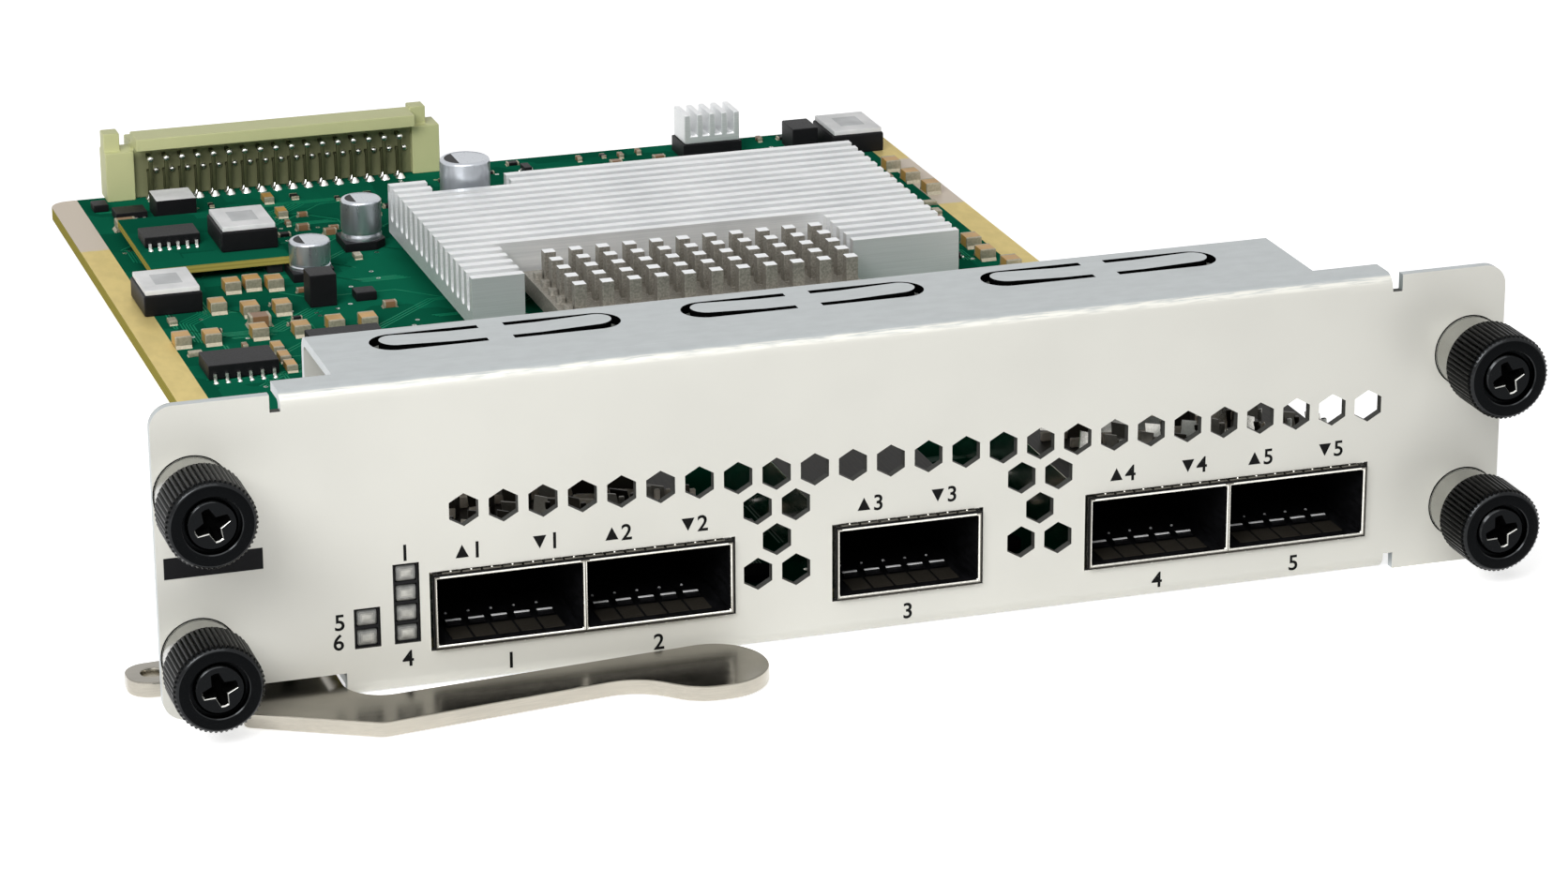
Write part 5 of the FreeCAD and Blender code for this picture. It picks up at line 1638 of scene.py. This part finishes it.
class MODULE_OT_connector(bpy.types.Operator):
    """Finish the rear connector, its pins and their solder"""

    bl_idname = "module.connector"
    bl_label = "Rear connector"

    def execute(self, context):
        softened("rear_connector_housing")
        softened("rear_connector_pins", ["pin_leg"])
        solder = Shape()
        boxes = solid_boxes("rear_connector_pins")
        row_split = sum(high.z for low, high in boxes) / len(boxes)
        wall = max(low.y for low, high in boxes) + WALL_BEHIND_PINS * MM
        for low, high in boxes:
            width = high.x - low.x
            rows = [(width * radius, width * height) for radius, height in PIN_SOLDER]
            x, y = (low.x + high.x) / 2, low.y + width / 2
            solder.revolve(rows, SOLDER_COLUMNS, upright(x, y, board_top))
            lower = high.z < row_split
            bead = (x + CONTACT_SHIFT * MM, wall) if lower else (x, y)
            ball(solder, Vector((*bead, high.z - width / 2)), width * ELBOW_SHARE)
        solder.piece("connector_solder", "card", "pin_tin", ["pin_tin"])
        return {"FINISHED"}


# An electrolytic can: its rounded shoulder, its sunk top and that top's inset, in millimetres
SHOULDER = 0.5
SUNK_TOP = 0.08
TOP_INSET = 0.7
SHOULDER_STEPS = 4
CAN_COLUMNS = 48
# The groove round a can's foot: radius and height as shares of the can's
FOOT_GROOVE = ((1.0, 0.0), (1.0, 0.1), (0.95, 0.14), (0.95, 0.18), (1.0, 0.22))
# The dark mark on a can's top: where it begins and how far it runs, in degrees, its steps and its depth
MARK_START, MARK_SWEEP, MARK_STEPS = 118, 124, 16
MARK_DEPTH = 0.03


def standing(low, high):
    """An axis that stands on the floor of a box, in its middle."""
    return upright((low.x + high.x) / 2, (low.y + high.y) / 2, low.z)


def electrolytic_can(shape, low, high):
    """A can with a grooved foot, a rounded shoulder, a sunk top and a dark mark across part of it."""
    radius, height = (high.x - low.x) / 2, high.z - low.z
    axis = standing(low, high)
    bend, inner, top = SHOULDER * MM, radius - TOP_INSET * MM, height - SUNK_TOP * MM
    rows = [(radius * share, height * rise) for share, rise in FOOT_GROOVE]
    for step in range(SHOULDER_STEPS + 1):
        angle = math.radians(90 * step / SHOULDER_STEPS)
        rows.append((radius - bend + bend * math.cos(angle), height - bend + bend * math.sin(angle)))
    rows.append((inner, top))
    shape.revolve(rows, CAN_COLUMNS, axis)
    outline = []
    for step in range(MARK_STEPS + 1):
        angle = math.radians(MARK_START + MARK_SWEEP * step / MARK_STEPS)
        outline.append(axis @ Vector((inner * math.cos(angle), inner * math.sin(angle), top)))
    shape.slab(outline, (0, 0, MARK_DEPTH * MM), 1)


# The block with a silver top: from the board's left and rear edges, and its reach, in millimetres
SILVER_BLOCK = (17.6, 12.5)
SILVER_REACH = 4.0
# The share of an inductor's top that its bare mark covers
MARK_SHARE = 0.5


def block_shade(centre, normal):
    """A silver top on one block, and black moulding on the rest."""
    across = abs(centre.x - board_low.x - SILVER_BLOCK[0] * MM)
    back = abs(board_high.y - centre.y - SILVER_BLOCK[1] * MM)
    return int(max(across, back) < SILVER_REACH * MM and normal.z > 0.5)


class MODULE_OT_power_parts(bpy.types.Operator):
    """Build the power board, inductors, cans, chips and capacitors"""

    bl_idname = "module.power_parts"
    bl_label = "Power parts"

    def execute(self, context):
        bases = ("power_board", "power_board_spacers", "power_inductors", "inductor_tops")
        for node in bases + ("electrolytic_bases", "leaded_chips"):
            softened(node)
        softened("black_blocks", ["black_moulding", "pale_top"], block_shade)
        marks = Shape()
        for low, high in solid_boxes("inductor_tops"):
            middle = (low + high) / 2
            reach = Vector((high.x - low.x, high.y - low.y, 0.0)) * MARK_SHARE / 2
            level = Vector((0.0, 0.0, high.z - middle.z))
            marks.box(middle + level - reach, middle + level + reach + Vector((0, 0, PRINT_DEPTH)))
        marks.piece("inductor_marks", "card", "pale_top", ["grey_mark"])
        cans = Shape()
        for low, high in solid_boxes("electrolytic_cans"):
            electrolytic_can(cans, low, high)
        finishes = ["can_aluminium", "black_moulding"]
        cans.piece("can_set", "card", "can_aluminium", finishes, ["electrolytic_cans"])
        leads = Shape()
        chips = solid_boxes("leaded_chips")
        for low, high in solid_boxes("chip_leads"):
            chip = min(chips, key=lambda box: ((box[0] + box[1]) / 2 - (low + high) / 2).length)
            side = 1 if low.y > (chip[0].y + chip[1].y) / 2 else -1
            edge = low.y if side > 0 else high.y
            size = high - low
            gull_lead(leads, (low.x + high.x) / 2, edge, side, size.x, size.z, size.y, 0, low.z)
        leads.piece("chip_lead_set", "card", "pin_tin", ["pin_tin"], ["chip_leads"])
        capacitors = Shape()
        for low, high in solid_boxes("ceramic_capacitors"):
            size = high - low
            part = end_cap_part((size.y, size.x, size.z), BODY_TAN)
            capacitors.join(part, standing(low, high) @ Matrix.Rotation(QUARTER_TURN, 4, "Z"))
        capacitors.piece("capacitor_set", "card", "ceramic_tan", SMALL_FINISHES, ["ceramic_capacitors"])
        return {"FINISHED"}


# Added to the floor where the camera sees it, so that it is white away from the shadow
FLOOR_GLOW = 0.65
# The floor's half side and thickness, in metres
FLOOR_REACH, FLOOR_DEPTH = 6.0, 0.02
# Lamps: name, the setting that holds their power, place and size in metres
LAMPS = (
    ("key_lamp", "key", (-0.47, -0.42, 0.46), (0.44, 0.32)),
    ("top_lamp", "top", (-0.1, -0.55, 0.8), (0.8, 0.8)),
)
# The camera's sensor in millimetres, and how far it sees in metres
SENSOR_WIDTH = 36.0
SIGHT = 100.0


def grey(level):
    """A neutral colour, with full cover."""
    return (level, level, level, 1.0)


def seen_rays(tree):
    """1 for what the camera sees, straight or through gloss and glass, and 0 for light on things."""
    rays = tree.node("ShaderNodeLightPath").socket.node.outputs
    seen = Wire(tree, rays["Is Camera Ray"]).most(Wire(tree, rays["Is Glossy Ray"]))
    return seen.most(Wire(tree, rays["Is Transmission Ray"]))


def floor_material(colours):
    """A pale floor that shows white to the camera and to reflections, and keeps the shadows."""
    floor = Finish("studio_floor", 0.9)
    clouds = floor.noise(floor.place(), 0.01)
    floor.set("Base Color", floor.tone(clouds, colours.floor, 0.99, 1.0))
    floor.set("Emission Color", floor.blend(seen_rays(floor), grey(0.0), grey(FLOOR_GLOW)))
    floor.set("Emission Strength", 1.0)
    return floor.material


def area_lamp(name, power, place, target, size):
    """A large soft lamp turned towards a point."""
    lamp = bpy.data.lights.new(name, "AREA")
    lamp.energy = power
    lamp.shape = "RECTANGLE"
    lamp.size, lamp.size_y = size
    holder = bpy.data.objects.new(name, lamp)
    bpy.context.scene.collection.objects.link(holder)
    holder.location = place
    holder.rotation_euler = (Vector(target) - Vector(place)).to_track_quat("-Z", "Y").to_euler()


class MODULE_OT_studio(bpy.types.Operator):
    """Set up the pale floor, the soft lights and the camera"""

    bl_idname = "module.studio"
    bl_label = "Studio"

    def execute(self, context):
        scene = context.scene
        studio = scene.module_studio
        scene.view_settings.view_transform = "Standard"
        world = bpy.data.worlds.new("studio_world")
        world.use_nodes = True
        scene.world = world
        tree = Tree(world)
        shade = tree.blend(seen_rays(tree), grey(studio.fill), grey(1.0))
        tree.feed(tree.nodes["Background"].inputs["Color"], shade)
        ground = Shape()
        low = cad_bounds[0].z
        ground.box((-FLOOR_REACH, -FLOOR_REACH, low - FLOOR_DEPTH), (FLOOR_REACH, FLOOR_REACH, low))
        mesh = ground.mesh("studio_floor")
        mesh.materials.append(floor_material(scene.module_colours))
        floor = bpy.data.objects.new("studio_floor", mesh)
        scene.collection.objects.link(floor)
        middle = (cad_bounds[0] + cad_bounds[1]) / 2
        for name, power, place, size in LAMPS:
            area_lamp(name, getattr(studio, power), place, middle, size)
        lens = bpy.data.cameras.new("camera")
        lens.lens = studio.lens
        lens.sensor_width = SENSOR_WIDTH
        lens.sensor_fit = "HORIZONTAL"
        lens.clip_end = SIGHT
        camera = bpy.data.objects.new("camera", lens)
        scene.collection.objects.link(camera)
        turn = Matrix.Rotation(-studio.heading, 4, "Z")
        turn = turn @ Matrix.Rotation(math.pi / 2 - studio.dip, 4, "X")
        turn = turn @ Matrix.Rotation(studio.roll, 4, "Z")
        camera.matrix_world = Matrix.Translation(studio.place) @ turn
        scene.camera = camera
        return {"FINISHED"}


OPERATORS = (
    MODULE_OT_panel, MODULE_OT_thumbscrews, MODULE_OT_lever, MODULE_OT_ports, MODULE_OT_lamps,
    MODULE_OT_board, MODULE_OT_heatsinks, MODULE_OT_connector, MODULE_OT_power_parts, MODULE_OT_studio,
)


class MODULE_PT_sidebar(bpy.types.Panel):
    """The module's steps, colours and sizes"""

    bl_idname = "MODULE_PT_sidebar"
    bl_label = "Module"
    bl_space_type = "VIEW_3D"
    bl_region_type = "UI"
    bl_category = "Module"

    def draw(self, context):
        for operator in OPERATORS:
            self.layout.operator(operator.bl_idname)
        scene = context.scene
        for group in (scene.module_colours, scene.module_sizes, scene.module_studio):
            column = self.layout.column()
            for name in group.__annotations__:
                column.prop(group, name)


CLASSES = (ModuleColours, ModuleSizes, ModuleStudio) + OPERATORS + (MODULE_PT_sidebar,)


def register():
    for each in CLASSES:
        bpy.utils.register_class(each)
    bpy.types.Scene.module_colours = PointerProperty(type=ModuleColours)
    bpy.types.Scene.module_sizes = PointerProperty(type=ModuleSizes)
    bpy.types.Scene.module_studio = PointerProperty(type=ModuleStudio)


def unregister():
    del bpy.types.Scene.module_studio
    del bpy.types.Scene.module_sizes
    del bpy.types.Scene.module_colours
    for each in reversed(CLASSES):
        bpy.utils.unregister_class(each)


def main():
    register()
    for operator in OPERATORS:
        step = operator.bl_idname.split(".")[1]
        getattr(bpy.ops.module, step)()


if __name__ == "__main__":
    main()
